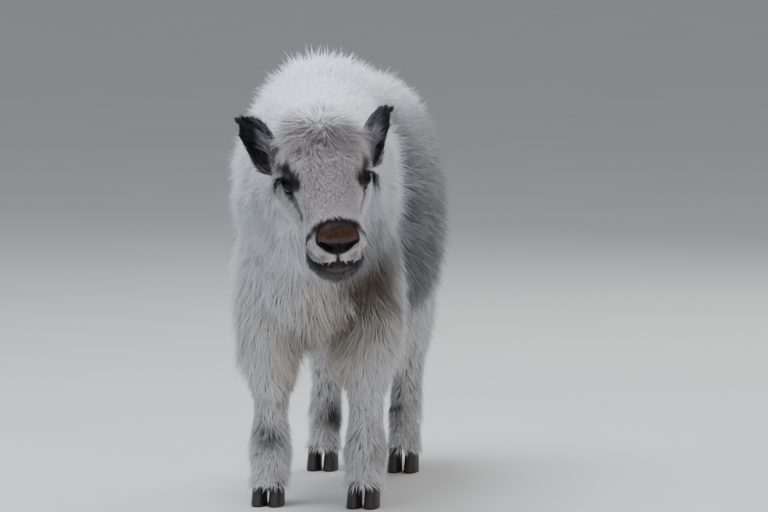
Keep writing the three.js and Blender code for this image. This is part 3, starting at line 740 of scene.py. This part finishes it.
def cellsOf(loft, s, angle, size, seed):
    # The middle of the surface cell of about this size that each root lies in, and its random numbers
    girth = loft.values(s)[:, 3:6].sum(-1) * 2.1
    rows = lengthOf(loft.point(s + 0.05, angle) - loft.point(s - 0.05, angle)) / 0.1
    stepS = size / np.maximum(np.median(rows), 1)
    stepA = size / np.maximum(np.median(girth), 1) * 2 * np.pi
    shift = 0.5 * (np.floor(s / stepS) % 2)
    i, j = np.floor(s / stepS).astype(int), np.floor(angle / stepA + shift).astype(int)
    chance = noiseTable[(i * 7919 + j * 104729 + seed * 1299709) % len(noiseTable)]
    return loft.point((i + 0.2 + 0.6 * chance[:, 0]) * stepS,
                      (j + 0.2 + 0.6 * chance[:, 1] - shift) * stepA), chance


def grow(loft, s, angle, lieOf, sizes, frameOf=None, clump=15.0, pull=0.3, wisp=4.6, gather=0.42, fly=0.075):
    # Each strand leaves the skin along the lie; tips draw together in wisps, and the wisps in clumps.
    # clump and wisp are cell sizes, pull and gather how far a tip goes to their middles, fly its stray
    root = loft.point(s, angle)
    normal = loft.normal(s, angle)
    coat = loft.values(s)[:, 6]
    lie = lieOf(root)
    lie = unit(lie - normal * (lie * normal).sum(-1, keepdims=True))
    side = np.cross(normal, lie)
    big, chance = cellsOf(loft, s, angle, clump, 0)
    small, luck = cellsOf(loft, s, angle, wisp, 3)
    swing = (0.34 * waves(root, 90, 8) + 0.3 * waves(root, 31, 9)
             + 0.5 * (chance[:, 2] - 0.5) + 0.35 * (luck[:, 2] - 0.5))
    lie = unit(lie + side * swing[:, None])
    length, rise, width = sizes(root, coat)
    length = length * (0.74 + 0.4 * rng.random(len(s))) * (0.9 + 0.2 * chance[:, 1])
    rise = np.minimum(rise * (0.7 + 0.44 * rng.random(len(s))) * (0.88 + 0.24 * luck[:, 1]), length * 0.97)
    run = np.sqrt(np.maximum(length ** 2 - rise ** 2, 0))
    loose = np.clip(rng.normal(size=(len(s), 3)), -1.7, 1.7)
    up = normal * rise[:, None]
    tip = root + up + lie * run[:, None]
    tip = tip + (small - root) * (gather * (0.6 + 0.6 * luck[:, 2]))[:, None]
    tip = tip + (big - root) * (pull * (0.6 + 0.6 * chance[:, 2]))[:, None] + loose * (length * fly)[:, None]
    middle = root + up * 0.62 + lie * (run * 0.4)[:, None] + (small - root) * 0.15
    middle = middle + loose[:, ::-1] * (length * fly * 0.5)[:, None]
    start = root - normal * 1.2
    if frameOf:
        start, middle, tip = frameOf(start), frameOf(middle), frameOf(tip)
        normal = normal @ headFrame.T
    return root, start, middle, tip, normal, width


def unwrapped(loft, s, angle, corner, size):
    # Angle across and length up, inside the rectangle of its region
    u = corner[0] + size[0] * ((angle / (2 * np.pi)) % 1)
    v = corner[1] + size[1] * (s + 1) / (loft.last + 2)
    return np.stack([u, v], -1)


def speckle(colour, amount):
    # Single hairs lighter and darker than the coat round them
    factor = 1 + amount * (2 * rng.random((len(colour), 1)) - 1)
    return colour * factor


def bodyLie(p):
    flank = np.clip((540 - p[:, 2]) / 160, 0, 1)
    chest = np.clip((-150 - p[:, 1]) / 60, 0, 1)
    return np.stack([0.12 * np.sign(p[:, 0]), 0.8 * (1 - chest), -1.5 * flank - 0.05 - chest], -1)


def neckLie(p):
    flank = np.clip((560 - p[:, 2]) / 120, 0, 1)[:, None]
    aside = np.stack([0.1 * np.sign(p[:, 0]), 0 * p[:, 0], -1.1 * flank[:, 0]], -1)
    return neckAlong * (1 - 0.6 * flank) + aside


def legLie(p):
    return np.repeat([[0.0, 0.2, -1.0]], len(p), 0)


whorl = np.array([0, 80, 56.0])


def faceLie(p):
    # Away from the whorl of the crown, and back along the jaw
    away = unit(p - whorl)
    swirl = np.stack([waves(p, 34, 21), waves(p, 29, 22), 0 * p[:, 0]], -1)
    close = bell(lengthOf(p - whorl) / 40)
    away = away + swirl * (0.35 + 0.6 * close)[:, None] + np.cross(away, [0, 0, 0.7]) * close[:, None]
    jaw = ramp(-p[:, 2], -6, 30) * ramp(p[:, 1], -60, 0)
    return mix(away, unit(np.array([0, 0.75, -0.65])), 0.8 * jaw)


def bodySizes(p, coat):
    # Longer and less raised low on the flank and chest, where it hangs
    low = ramp(-p[:, 2], -400, -290)
    length = (coat * 1.45 + 22 * low) * (1 - 0.22 * ramp(p[:, 2], 560, 640))
    rise = coat * (0.88 - 0.22 * low)
    return length, rise, np.full(len(p), 1.3)


def neckSizes(p, coat):
    low = ramp(-p[:, 2], -450, -330)
    return coat * 1.5 + 18 * low, coat * (0.95 - 0.25 * low), np.full(len(p), 1.2)


def legSizes(p, coat):
    back = ramp((p[:, 1] + 146) * (p[:, 1] < 60) + (p[:, 1] - 284) * (p[:, 1] > 60), 0, 16)
    feather = back * (1 - ramp(p[:, 2], 150, 230))
    fine = ramp(p[:, 2], 60, 200)
    return coat * 1.7 + 16 * feather, coat * (0.82 + 0.2 * feather), 0.8 + 0.4 * fine


def tailSizes(p, coat):
    return coat * 2.2, coat * 0.9, np.full(len(p), 1.2)


def faceSizes(p, coat):
    # Long at the whorl, short towards the muzzle and round the eyes
    crown = bell(lengthOf(p - whorl) / 42)
    eye = bell(lengthOf(np.abs(p) - [52, -4, 20]) / 26) * (p[:, 2] > -10)
    muzzle = 1 - ramp(p[:, 1], -100, -50)
    chin = (1 - ramp(p[:, 2], mouthLevel - 14, mouthLevel - 6)) * (1 - ramp(p[:, 1], -80, -50))
    rim = lengthOf((p - padMiddle) / padReach)
    fuzz = bell((rim - 1.15) / 0.14) * (p[:, 2] > 12)
    length = coat * 1.5 + 26 * crown + 8 * ramp(p[:, 1], 10, 60)
    length = np.maximum(length * (1 - 0.5 * eye) * (1 - 0.25 * muzzle), 5.5)
    length = length + 9 * chin + 3 * fuzz + 1.5 * muzzle
    rise = (coat * 0.78 + 3 * crown) * (1 - 0.5 * eye) * (1 - 0.3 * muzzle)
    rise = rise + 4 * chin + 3 * fuzz + 1.2 * muzzle
    return length, rise, 0.52 + 0.2 * crown + 0.25 * ramp(p[:, 1], 20, 80)


def coatPiece(name, loft, roots, lieOf, sizes, marks, region, slot, material=furMaterial, frameOf=None,
              outside=(), keep=None, **how):
    # Roots that fall inside another part of the body are left out
    s, angle = roots
    root = loft.point(s, angle)
    hidden = ~keep(root) if keep else np.zeros(len(s), bool)
    world = frameOf(root) if frameOf else root
    for other in outside:
        hidden |= other.holds(world, 2)
    s, angle = s[~hidden], angle[~hidden]
    root, start, middle, tip, normal, width = grow(loft, s, angle, lieOf, sizes, frameOf, **how)
    colour = speckle(marks(root), 0.16)
    tipColour = colour * (1.02 + 0.16 * rng.random((len(s), 1)))
    uv = unwrapped(loft, s, angle, *region)
    strands(name, start, middle, tip, normal, width, colour, tipColour, uv, material, slot)
    print(" ", name, len(s), "strands")


print("coat")
share = 1.0
rootCount = {"torso": 34000, "neck": 24000, "leg": 22000, "tail": 9000, "face": 32000, "crown": 30000,
             "ear": 14000}  # candidates a piece, of which some are hidden
region = {"torso": ((0.01, 0.01), (0.48, 0.48)), "neck": ((0.51, 0.01), (0.48, 0.2)),
          "fore": ((0.51, 0.23), (0.48, 0.08)), "hind": ((0.51, 0.33), (0.48, 0.08)),
          "tail": ((0.51, 0.45), (0.2, 0.04)), "head": ((0.01, 0.51), (0.48, 0.3))}
halves = (("Left", -np.pi / 2), ("Right", np.pi / 2))


def some(piece):
    return int(rootCount[piece] * share)


everyLeg = list(legs.values())
for name, turn in halves:
    roots = scatter(torso, some("torso"), -0.8, torso.last + 0.95, angles=(turn, turn + np.pi))
    coatPiece(f"coatTorso{name}", torso, roots, bodyLie, bodySizes, bodyMarkings, region["torso"], "body_coat",
              outside=[neck, *everyLeg], pull=0.2)
for name, turn in halves:
    roots = scatter(neck, some("neck"), 0, neck.last, angles=(turn, turn + np.pi))
    coatPiece(f"coatNeck{name}", neck, roots, neckLie, neckSizes, neckMarkings, region["neck"], "neck_coat",
              outside=[torso, *everyLeg])
for end in ("fore", "hind"):
    for name in ("left", "right"):
        loft = legs[end + name]
        coatPiece(f"coat{end.title()}leg{name.title()}", loft, scatter(loft, some("leg"), 0.02, loft.last + 0.5),
                  legLie, legSizes, lambda p, end=end: legMarkings(p, end), region[end], "leg_coat",
                  outside=[torso, neck], clump=11.0, pull=0.2, fly=0.05)
coatPiece("coatTail", tail, scatter(tail, some("tail"), -0.8, tail.last), legLie, tailSizes, bodyMarkings,
          region["tail"], "tail_coat", outside=[torso], clump=10.0)


def faceKeep(p):
    # No hair on the eyes, the nose pad or the edges of the lips
    q = np.stack([np.abs(p[:, 0]), p[:, 1], p[:, 2]], -1)
    eye = lengthOf(q - [eyeOut + 6, -9, eyeUp]) < 13.5
    pad = lengthOf((q - [0, -111, 8]) / [31, 24, 21]) < 1.03
    pad |= (q[:, 0] < 30) & (q[:, 1] < -112) & (q[:, 2] > -10) & (q[:, 2] < 26)
    lip = (np.abs(p[:, 2] - mouthHeight(p)) < 2.2) & (p[:, 1] < -84)
    return ~eye & ~pad & ~lip


coatPiece("coatFace", head, scatter(head, some("face"), -0.7, 4.6), faceLie, faceSizes, faceStrandMarkings,
          region["head"], "face_coat", faceMaterial, fromHead, keep=faceKeep, clump=6.0, pull=0.1, wisp=2.4,
          gather=0.3, fly=0.06)
coatPiece("coatCrown", head, scatter(head, some("crown"), 4.4, head.last + 0.5), faceLie, faceSizes,
          faceStrandMarkings, region["head"], "face_coat", faceMaterial, fromHead, keep=faceKeep, clump=8.0,
          pull=0.3, wisp=3.0, gather=0.4, outside=[neck])

# Ears: a leaf bent into a cup, with fur outside and a fringe along the front edge

earShape = {"length": 90, "wall": 2.6, "rings": 44, "arc": 30}
earTable = np.array([
    [0, 13, 13, 150], [0.16, 18, 16, 128], [0.38, 23, 17, 104], [0.62, 23, 13, 88],
    [0.84, 18, 9, 80], [0.95, 12, 6, 70], [1, 6, 3, 60],
])


def earSurface(hand, share, across, offset=0.0):
    # Each cross-section is an arc of half width, depth and opening taken from the table
    root = np.array([60 * hand, 46, 7.0])
    axis = unit(np.array([0.52 * hand, 0.8, 0.35]))
    opening = np.array([0.76 * hand, -0.6, 0.25])
    opening = unit(opening - axis * (opening @ axis))
    aside = np.cross(axis, opening)
    half, depth, reach = [np.interp(share, earTable[:, 0], earTable[:, k]) for k in (1, 2, 3)]
    turn = across * reach * degree
    droop = -6 * np.sin(share * np.pi)
    return (root + share[..., None] * earShape["length"] * axis
            + (np.sin(turn) * (half + offset))[..., None] * aside
            + (depth / 2 + droop - np.cos(turn) * (depth + offset))[..., None] * opening)


print("ears")
for name, hand in hands:
    half = earShape["wall"] / 2
    steps = np.linspace(0, 1, earShape["rings"])
    upEar, arc = gridOf(steps, np.linspace(-1, 1, earShape["arc"]))
    outer = earSurface(hand, upEar, arc, half)
    inner = earSurface(hand, upEar, arc, -half)
    grid = np.concatenate([outer, inner[:, ::-1]], 1)
    points, faces = closedTube(place(fromHead(grid)))
    ear = meshObject(f"ear{name.title()}", points, faces)
    upPoints = np.concatenate([np.repeat(steps, 2 * earShape["arc"]), [0, 1]])
    paint(ear, earMarkings(points, upPoints, np.zeros(len(points))))
    finished(ear, skinMaterial, [f"ear_{name}"])
    count = some("ear")
    upEar, arc = rng.random(count) ** 0.9, rng.random(count) * 2.04 - 1.02
    inside = rng.random(count) < 0.45
    edge = ramp(np.abs(arc), 0.8, 1.0)
    fringe = ramp(-hand * arc, 0.62, 0.95) * ramp(upEar, 0.05, 0.2) * (1 - ramp(upEar, 0.62, 0.85))
    offset = np.where(inside, -half, half)
    root = earSurface(hand, upEar, arc, offset)
    out = unit(earSurface(hand, upEar, arc, offset + 1.0) - root) * np.where(inside, -1, 1)[:, None]
    lie = unit(earSurface(hand, np.minimum(upEar + 0.03, 1.03), arc, offset) - root)
    aside = unit(earSurface(hand, upEar, arc - hand * 0.05, offset) - root)
    loose = rng.normal(size=(count, 3))
    lie = unit(lie + aside * (0.8 * fringe)[:, None] + 0.5 * fringe[:, None] * waves(root, 13, 14)[:, None] * out)
    long = 8 + 6 * edge * (1 - ramp(upEar, 0.7, 1.0)) + 10 * fringe + 5 * rng.random(count)
    long = long + 5 * inside * (upEar < 0.6)
    rise = 2.4 + 2.5 * edge + 5 * fringe + 2.5 * inside
    middle = root + out * (rise * 0.7)[:, None] + lie * (long * 0.45)[:, None] + loose * 0.5
    tip = root + out * rise[:, None] + lie * long[:, None] + loose * (1.0 + 2.2 * fringe + edge)[:, None]
    tone = earMarkings(root, upEar, inside * 1.0)
    pale = rng.random(count) < 0.04 + 0.2 * (upEar < 0.34) + 0.1 * fringe
    tone = mix(tone, shade(0.62, 0.60, 0.62), 0.65 * pale * (upEar < 0.56))
    uv = np.stack([0.75 + 0.1 * hand + 0.08 * arc, 0.55 + 0.35 * upEar], -1)
    headStrands(f"coatEar{name.title()}", root, middle, tip, out, 0.62, speckle(tone, 0.25), speckle(tone, 0.2),
                uv, faceMaterial, "ear_coat")

# Eyes: a dark ball with a level pupil, lids that hold it, and long lashes

print("eyes")


def eyeAxes(hand):
    gaze = unit(np.array([0.87 * hand, -0.48, 0.12]))
    level = np.array([0, 1, -0.28])
    level = unit(level - gaze * (level @ gaze))
    tall = np.cross(gaze, level) * hand
    return np.array([eyeOut * hand, -4, eyeUp], float), gaze, level, tall


def onBall(hand, reach, turn, radius):
    # Polar place round the gaze: reach is the angle away from it, turn goes round it
    centre, gaze, level, tall = eyeAxes(hand)
    flat = np.cos(turn)[..., None] * level + np.sin(turn)[..., None] * tall
    away = np.cos(reach)[..., None] * gaze + np.sin(reach)[..., None] * flat
    return centre + np.asarray(radius)[..., None] * away


def lidEdge(turn):
    # Almond: wider along than tall, pinched at both corners, the upper lid lower
    long, tall = 68 * degree, 50 * degree
    c, n = np.cos(turn), np.sin(turn)
    ellipse = long * tall / np.sqrt((tall * c) ** 2 + (long * n) ** 2)
    return ellipse * (1 - 0.2 * np.abs(c) ** 4) * (1 - 0.1 * n)


wet = {"roughness": 0.12, "coat": 0.06, "specular": 0.16}
eyeMaterial = plainMaterial("eyeBall", shade(0.025, 0.018, 0.016), shade(0.07, 0.045, 0.03), 300, **wet)
pupilMaterial = plainMaterial("eyePupil", shade(0.005, 0.005, 0.008), shade(0.012, 0.012, 0.018), 200, **wet)
lidMaterial = plainMaterial("eyeLid", shade(0.035, 0.03, 0.03), shade(0.085, 0.07, 0.07), 900, 0.6, bump=0.5,
                            specular=0.25)
lashMaterial = plainMaterial("lash", shade(0.03, 0.025, 0.03), shade(0.06, 0.05, 0.055), 400, 0.6, specular=0.25)
lashSize = {"count": 110, "front": 6, "behind": 36, "width": 1.0}
for name, hand in hands:
    reach, turn = gridOf(np.linspace(0.02, np.pi - 0.02, 48), around(64))
    swell = 0.6 * bell(reach / 0.5)
    points, faces = closedTube(place(fromHead(onBall(hand, reach, turn, eyeRadius - 0.6 + swell))))
    ball = meshObject(f"eyeBall{name.title()}", points, faces)
    finished(ball, eyeMaterial, [f"eye_{name}"])
    ball.data.materials.append(pupilMaterial)
    centre, gaze, level, tall = eyeAxes(hand)
    local = toHead((points - frameShift) / mm) - centre
    inPupil = ((local @ level / 6.0) ** 4 + (local @ tall / 3.6) ** 4 < 1) & (local @ gaze > 0)
    first = np.concatenate([f[:, 0] for f in faces])
    ball.data.polygons.foreach_set("material_index", inPupil[first].astype(np.int32))
    # Lids: from under the edge, round it, and back over the ball to sink in the face.
    # Each step is an angle out from the edge and a height over the ball
    turn = around(96)
    edge = lidEdge(turn)
    upperSide = np.clip(np.sin(turn), 0, 1)
    rings = []
    steps = [(0.10, 0.1), (0.0, 0.25), (-0.02, 1.2), (0.03, 2.2), (0.12, 2.9), (0.24, 2.6), (0.34, 3.1),
             (0.5, 3.0), (0.75, 2.4), (1.05, 1.2), (1.25, -1.0), (1.2, -4.0), (0.6, -2.5)]
    for away, height in steps:
        fold = 0.5 * upperSide * math.exp(-((away - 0.24) / 0.06) ** 2)
        rings.append(onBall(hand, edge + away * (1 - 0.2 * np.abs(np.cos(turn))), turn,
                            eyeRadius - 0.2 + height - fold))
    sides = len(turn)
    points = place(fromHead(np.concatenate(rings)))
    faces = tubeFaces(len(steps), sides)
    i = np.arange(sides)
    k = (i + 1) % sides
    bottom = (len(steps) - 1) * sides
    closing = np.stack([bottom + i, bottom + k, k, i], -1)
    lids = meshObject(f"lids{name.title()}", points, facingOut(points, [faces, closing]))
    finished(lids, lidMaterial)
    # Lashes: from the upper lid, longest behind, out over the lid and then hanging down in one thick brush
    count = lashSize["count"]
    at = np.where(rng.random(count) < 0.7, rng.uniform(-8, 75, count), rng.uniform(70, 155, count)) * degree
    root = onBall(hand, lidEdge(at) + rng.uniform(-0.03, 0.14, count), at, np.full(count, eyeRadius + 2.2))
    out = unit(root - centre)
    drop = np.array([0, 0, -1.0]) @ headFrame
    behind = ramp(np.cos(at), 0.0, 0.75)
    long = lashSize["front"] + lashSize["behind"] * behind * (0.75 + 0.25 * rng.random(count))
    long = long + 2 * rng.random(count)
    fan = rng.normal(size=(count, 3)) * 0.13
    aside = np.array([0.4 * hand, 0.3, 0.0])
    middle = root + (out * 0.34 + aside * 0.6 + drop * 0.6 + fan) * (long * 0.42)[:, None]
    tip = middle + (drop * 1.0 + aside * 0.14 + fan * 0.8) * (long * 0.64)[:, None]
    uv = np.stack([np.full(count, 0.9), 0.5 + 0.001 * np.arange(count)], -1)
    dark = np.repeat(shade(0.05, 0.042, 0.05)[None], count, 0)
    headStrands(f"lashes{name.title()}", root, middle, tip, out, lashSize["width"], dark, dark, uv,
                lashMaterial, "face_coat", rootShade=1.0)

# Nose pad with comma nostrils

print("nose")
noseSize = {"rings": 110, "sides": 150, "pit": 9.0}
up, turn = gridOf(np.linspace(-1, 1, noseSize["rings"]) * 0.999, around(noseSize["sides"]))
flat = np.sqrt(1 - up ** 2)
x = np.cos(turn) * flat * (31.5 - 3 * up)
y = -111 - np.sin(turn) * flat * 23 + 7 * up
z = 8 + up * 21
grid = np.stack([x, y, z], -1)
front = ramp(np.sin(turn), 0.0, 0.35)
# The brink is the height of the pad's lower edge, above the hollow, which is painted black as shadow
brink = 13.5 - 0.003 * x ** 2 - 9 * ramp(np.abs(x), 25, 31) + 0.6 * waves(grid, 30, 15)
pits = np.zeros(x.shape)
for px, pz, wide in ((26.5, 5.5, 3.8), (24, 4.5, 4.8), (20.5, 3, 5.4), (17, 2, 5.0), (13.5, 2, 4.0)):
    pits = np.maximum(pits, np.exp(-(((np.abs(x) - px) ** 2 + (z - pz) ** 2) / wide ** 2) ** 1.4))
hollow = ramp(brink - z, -0.5, 5) * front
depth = noseSize["pit"] * pits * front + 3.2 * hollow * (1 - ramp(-z, 6, 13))
swell = 1.7 * bell((z - brink - 3) / 2.6) * front
wing = 1.8 * np.exp(-((np.abs(x) - 30.5) / 2.6) ** 2 - ((z - 1) / 8) ** 2) * front
groove = 2.0 * bell(x / 1.7) * (1 - ramp(z, brink - 2, brink + 5)) * front
inward = unit(np.array([0, -86, 6.0]) - grid)
grid = grid + inward * (depth + groove - swell - wing)[..., None]
points, faces = closedTube(place(fromHead(grid)))
nose = meshObject("nosePad", points, faces)
rust = shade(0.25, 0.145, 0.10)
mottle = np.clip(0.5 + 0.8 * waves(grid.reshape(-1, 3), 11, 16), 0, 1)
tones = mix(np.repeat(rust[None], x.size, 0), shade(0.185, 0.105, 0.07), mottle)
above = (z - brink).ravel()
tones = mix(tones, shade(0.33, 0.28, 0.27), bell((above - 2.6) / 2.2) * 0.75)
# Painted shadow: black below the pad's lower edge
tones = mix(tones, shade(0.035, 0.028, 0.03), 1 - ramp(above, -0.8, 1.2))
# Painted shade: the nostril pits near black, more so where they are deeper
tones = mix(tones, shade(0.012, 0.01, 0.012), ramp((noseSize["pit"] * pits).ravel(), 2, 6))
tones = mix(tones, shade(0.10, 0.07, 0.06), 0.85 * ramp(z.ravel() + 0.004 * x.ravel() ** 2, 25, 29))
tones = mix(tones, shade(0.20, 0.15, 0.13), ((np.abs(x) > 29) & (z > -4)).ravel() * 0.5)
paint(nose, np.concatenate([tones, tones[:1], tones[-1:]]))
noseMaterial, nodes, links, surface = nodesOf("nosePad")
links.new(markingsOutput(nodes), surface.inputs["Base Color"])
pebbles = nodes.new("ShaderNodeTexVoronoi")
pebbles.inputs["Scale"].default_value = 520
addBump(nodes, links, surface, pebbles.outputs["Distance"], 0.5, 0.0006)
setInputs(surface, {"Roughness": 0.7, "Specular IOR Level": 0.16, "Coat Weight": 0.03})
finished(nose, noseMaterial)

# Hooves: each claw with a bevelled sole, a sloped toe and growth rings

print("hooves")
hornMaterial = plainMaterial("horn", shade(0.10, 0.09, 0.085), shade(0.23, 0.20, 0.18), 60, 0.5, bump=0.4,
                             stretch=(1, 1, 7))
clawSize = {"rings": 36, "sides": 56}
for end in ("fore", "hind"):
    for name, hand in hands:
        for which, inner in (("outer", hand), ("inner", -hand)):
            t, turn = gridOf(np.linspace(0, 1, clawSize["rings"]), around(clawSize["sides"]))
            height = t * (hoofHeight - 0.4) + 0.2 * (1 - t)
            girth = 1 - 0.16 * t ** 1.2 - 0.07 * bell(t / 0.04) + 0.008 * np.sin(t * 60)
            c, n = np.cos(turn), np.sin(turn)
            side = np.where(c * inner < 0, 0.9, 1.0)
            x = footSpread[end] * hand + inner * 12.6 + np.sign(c) * np.abs(c) ** 0.8 * 12.2 * girth * side
            y = footY[end] - 8 - n * np.where(n > 0, 29.2, 21) * girth + 8 * t ** 1.3
            points, faces = closedTube(place(np.stack([x, y, height], -1)))
            claw = meshObject(f"claw{end.title()}{name.title()}{which.title()}", points, faces)
            finished(claw, hornMaterial, [f"{end}leg_{name}_claw_{which}"])

# Room, light and camera

print("room")
bpy.ops.mesh.primitive_plane_add(size=40, location=(0, 0, 0))
floor = bpy.context.object
floor.name = "floor"
floor.data.materials.append(plainMaterial("floorPaint", (0.62, 0.61, 0.59), (0.66, 0.65, 0.63), 3, 0.85))
world = bpy.data.worlds.new("room")
bpy.context.scene.world = world
world.use_nodes = True
world.node_tree.nodes["Background"].inputs["Color"].default_value = (0.80, 0.84, 0.92, 1)
world.node_tree.nodes["Background"].inputs["Strength"].default_value = 0.44


def softLight(name, spot, aim, size, power, colour):
    lamp = bpy.data.lights.new(name, "AREA")
    lamp.size = size
    lamp.energy = power
    lamp.color = colour
    holder = linked(name, lamp)
    holder.location = spot
    holder.rotation_euler = (Vector(aim) - Vector(spot)).to_track_quat("-Z", "Y").to_euler()


softLight("key", (-0.8, -0.4, 3.6), (0, 0, 0.4), 2.2, 185, (0.84, 0.92, 1.0))
softLight("fill", (2.6, -3.2, 1.6), (0, 0, 0.4), 2.5, 46, (1.0, 0.96, 0.91))
softLight("rim", (1.0, 3.0, 2.4), (0, 0, 0.5), 1.8, 60, (1.0, 0.98, 0.95))

# The photo's view: nine degrees to the calf's left, five degrees down, from eight metres
cameraSize = {"azimuth": 9.3 * degree, "elevation": 5 * degree, "distance": 8.0, "lens": 251.0}
a, e = cameraSize["azimuth"], cameraSize["elevation"]
right = np.array([math.cos(a), math.sin(a), 0])
forward = np.array([-math.sin(a) * math.cos(e), math.cos(a) * math.cos(e), -math.sin(e)])
upward = np.cross(right, forward)
target = place(right * 75 + upward * 359 + forward * (-150 * math.cos(a) * math.cos(e)))
lens = bpy.data.cameras.new("camera")
lens.lens = cameraSize["lens"]
lens.sensor_width = 36
camera = linked("camera", lens)
camera.location = target - forward * cameraSize["distance"]
camera.rotation_euler = Matrix((right, upward, -forward)).transposed().to_euler()
lens.clip_end = 60
bpy.context.scene.camera = camera
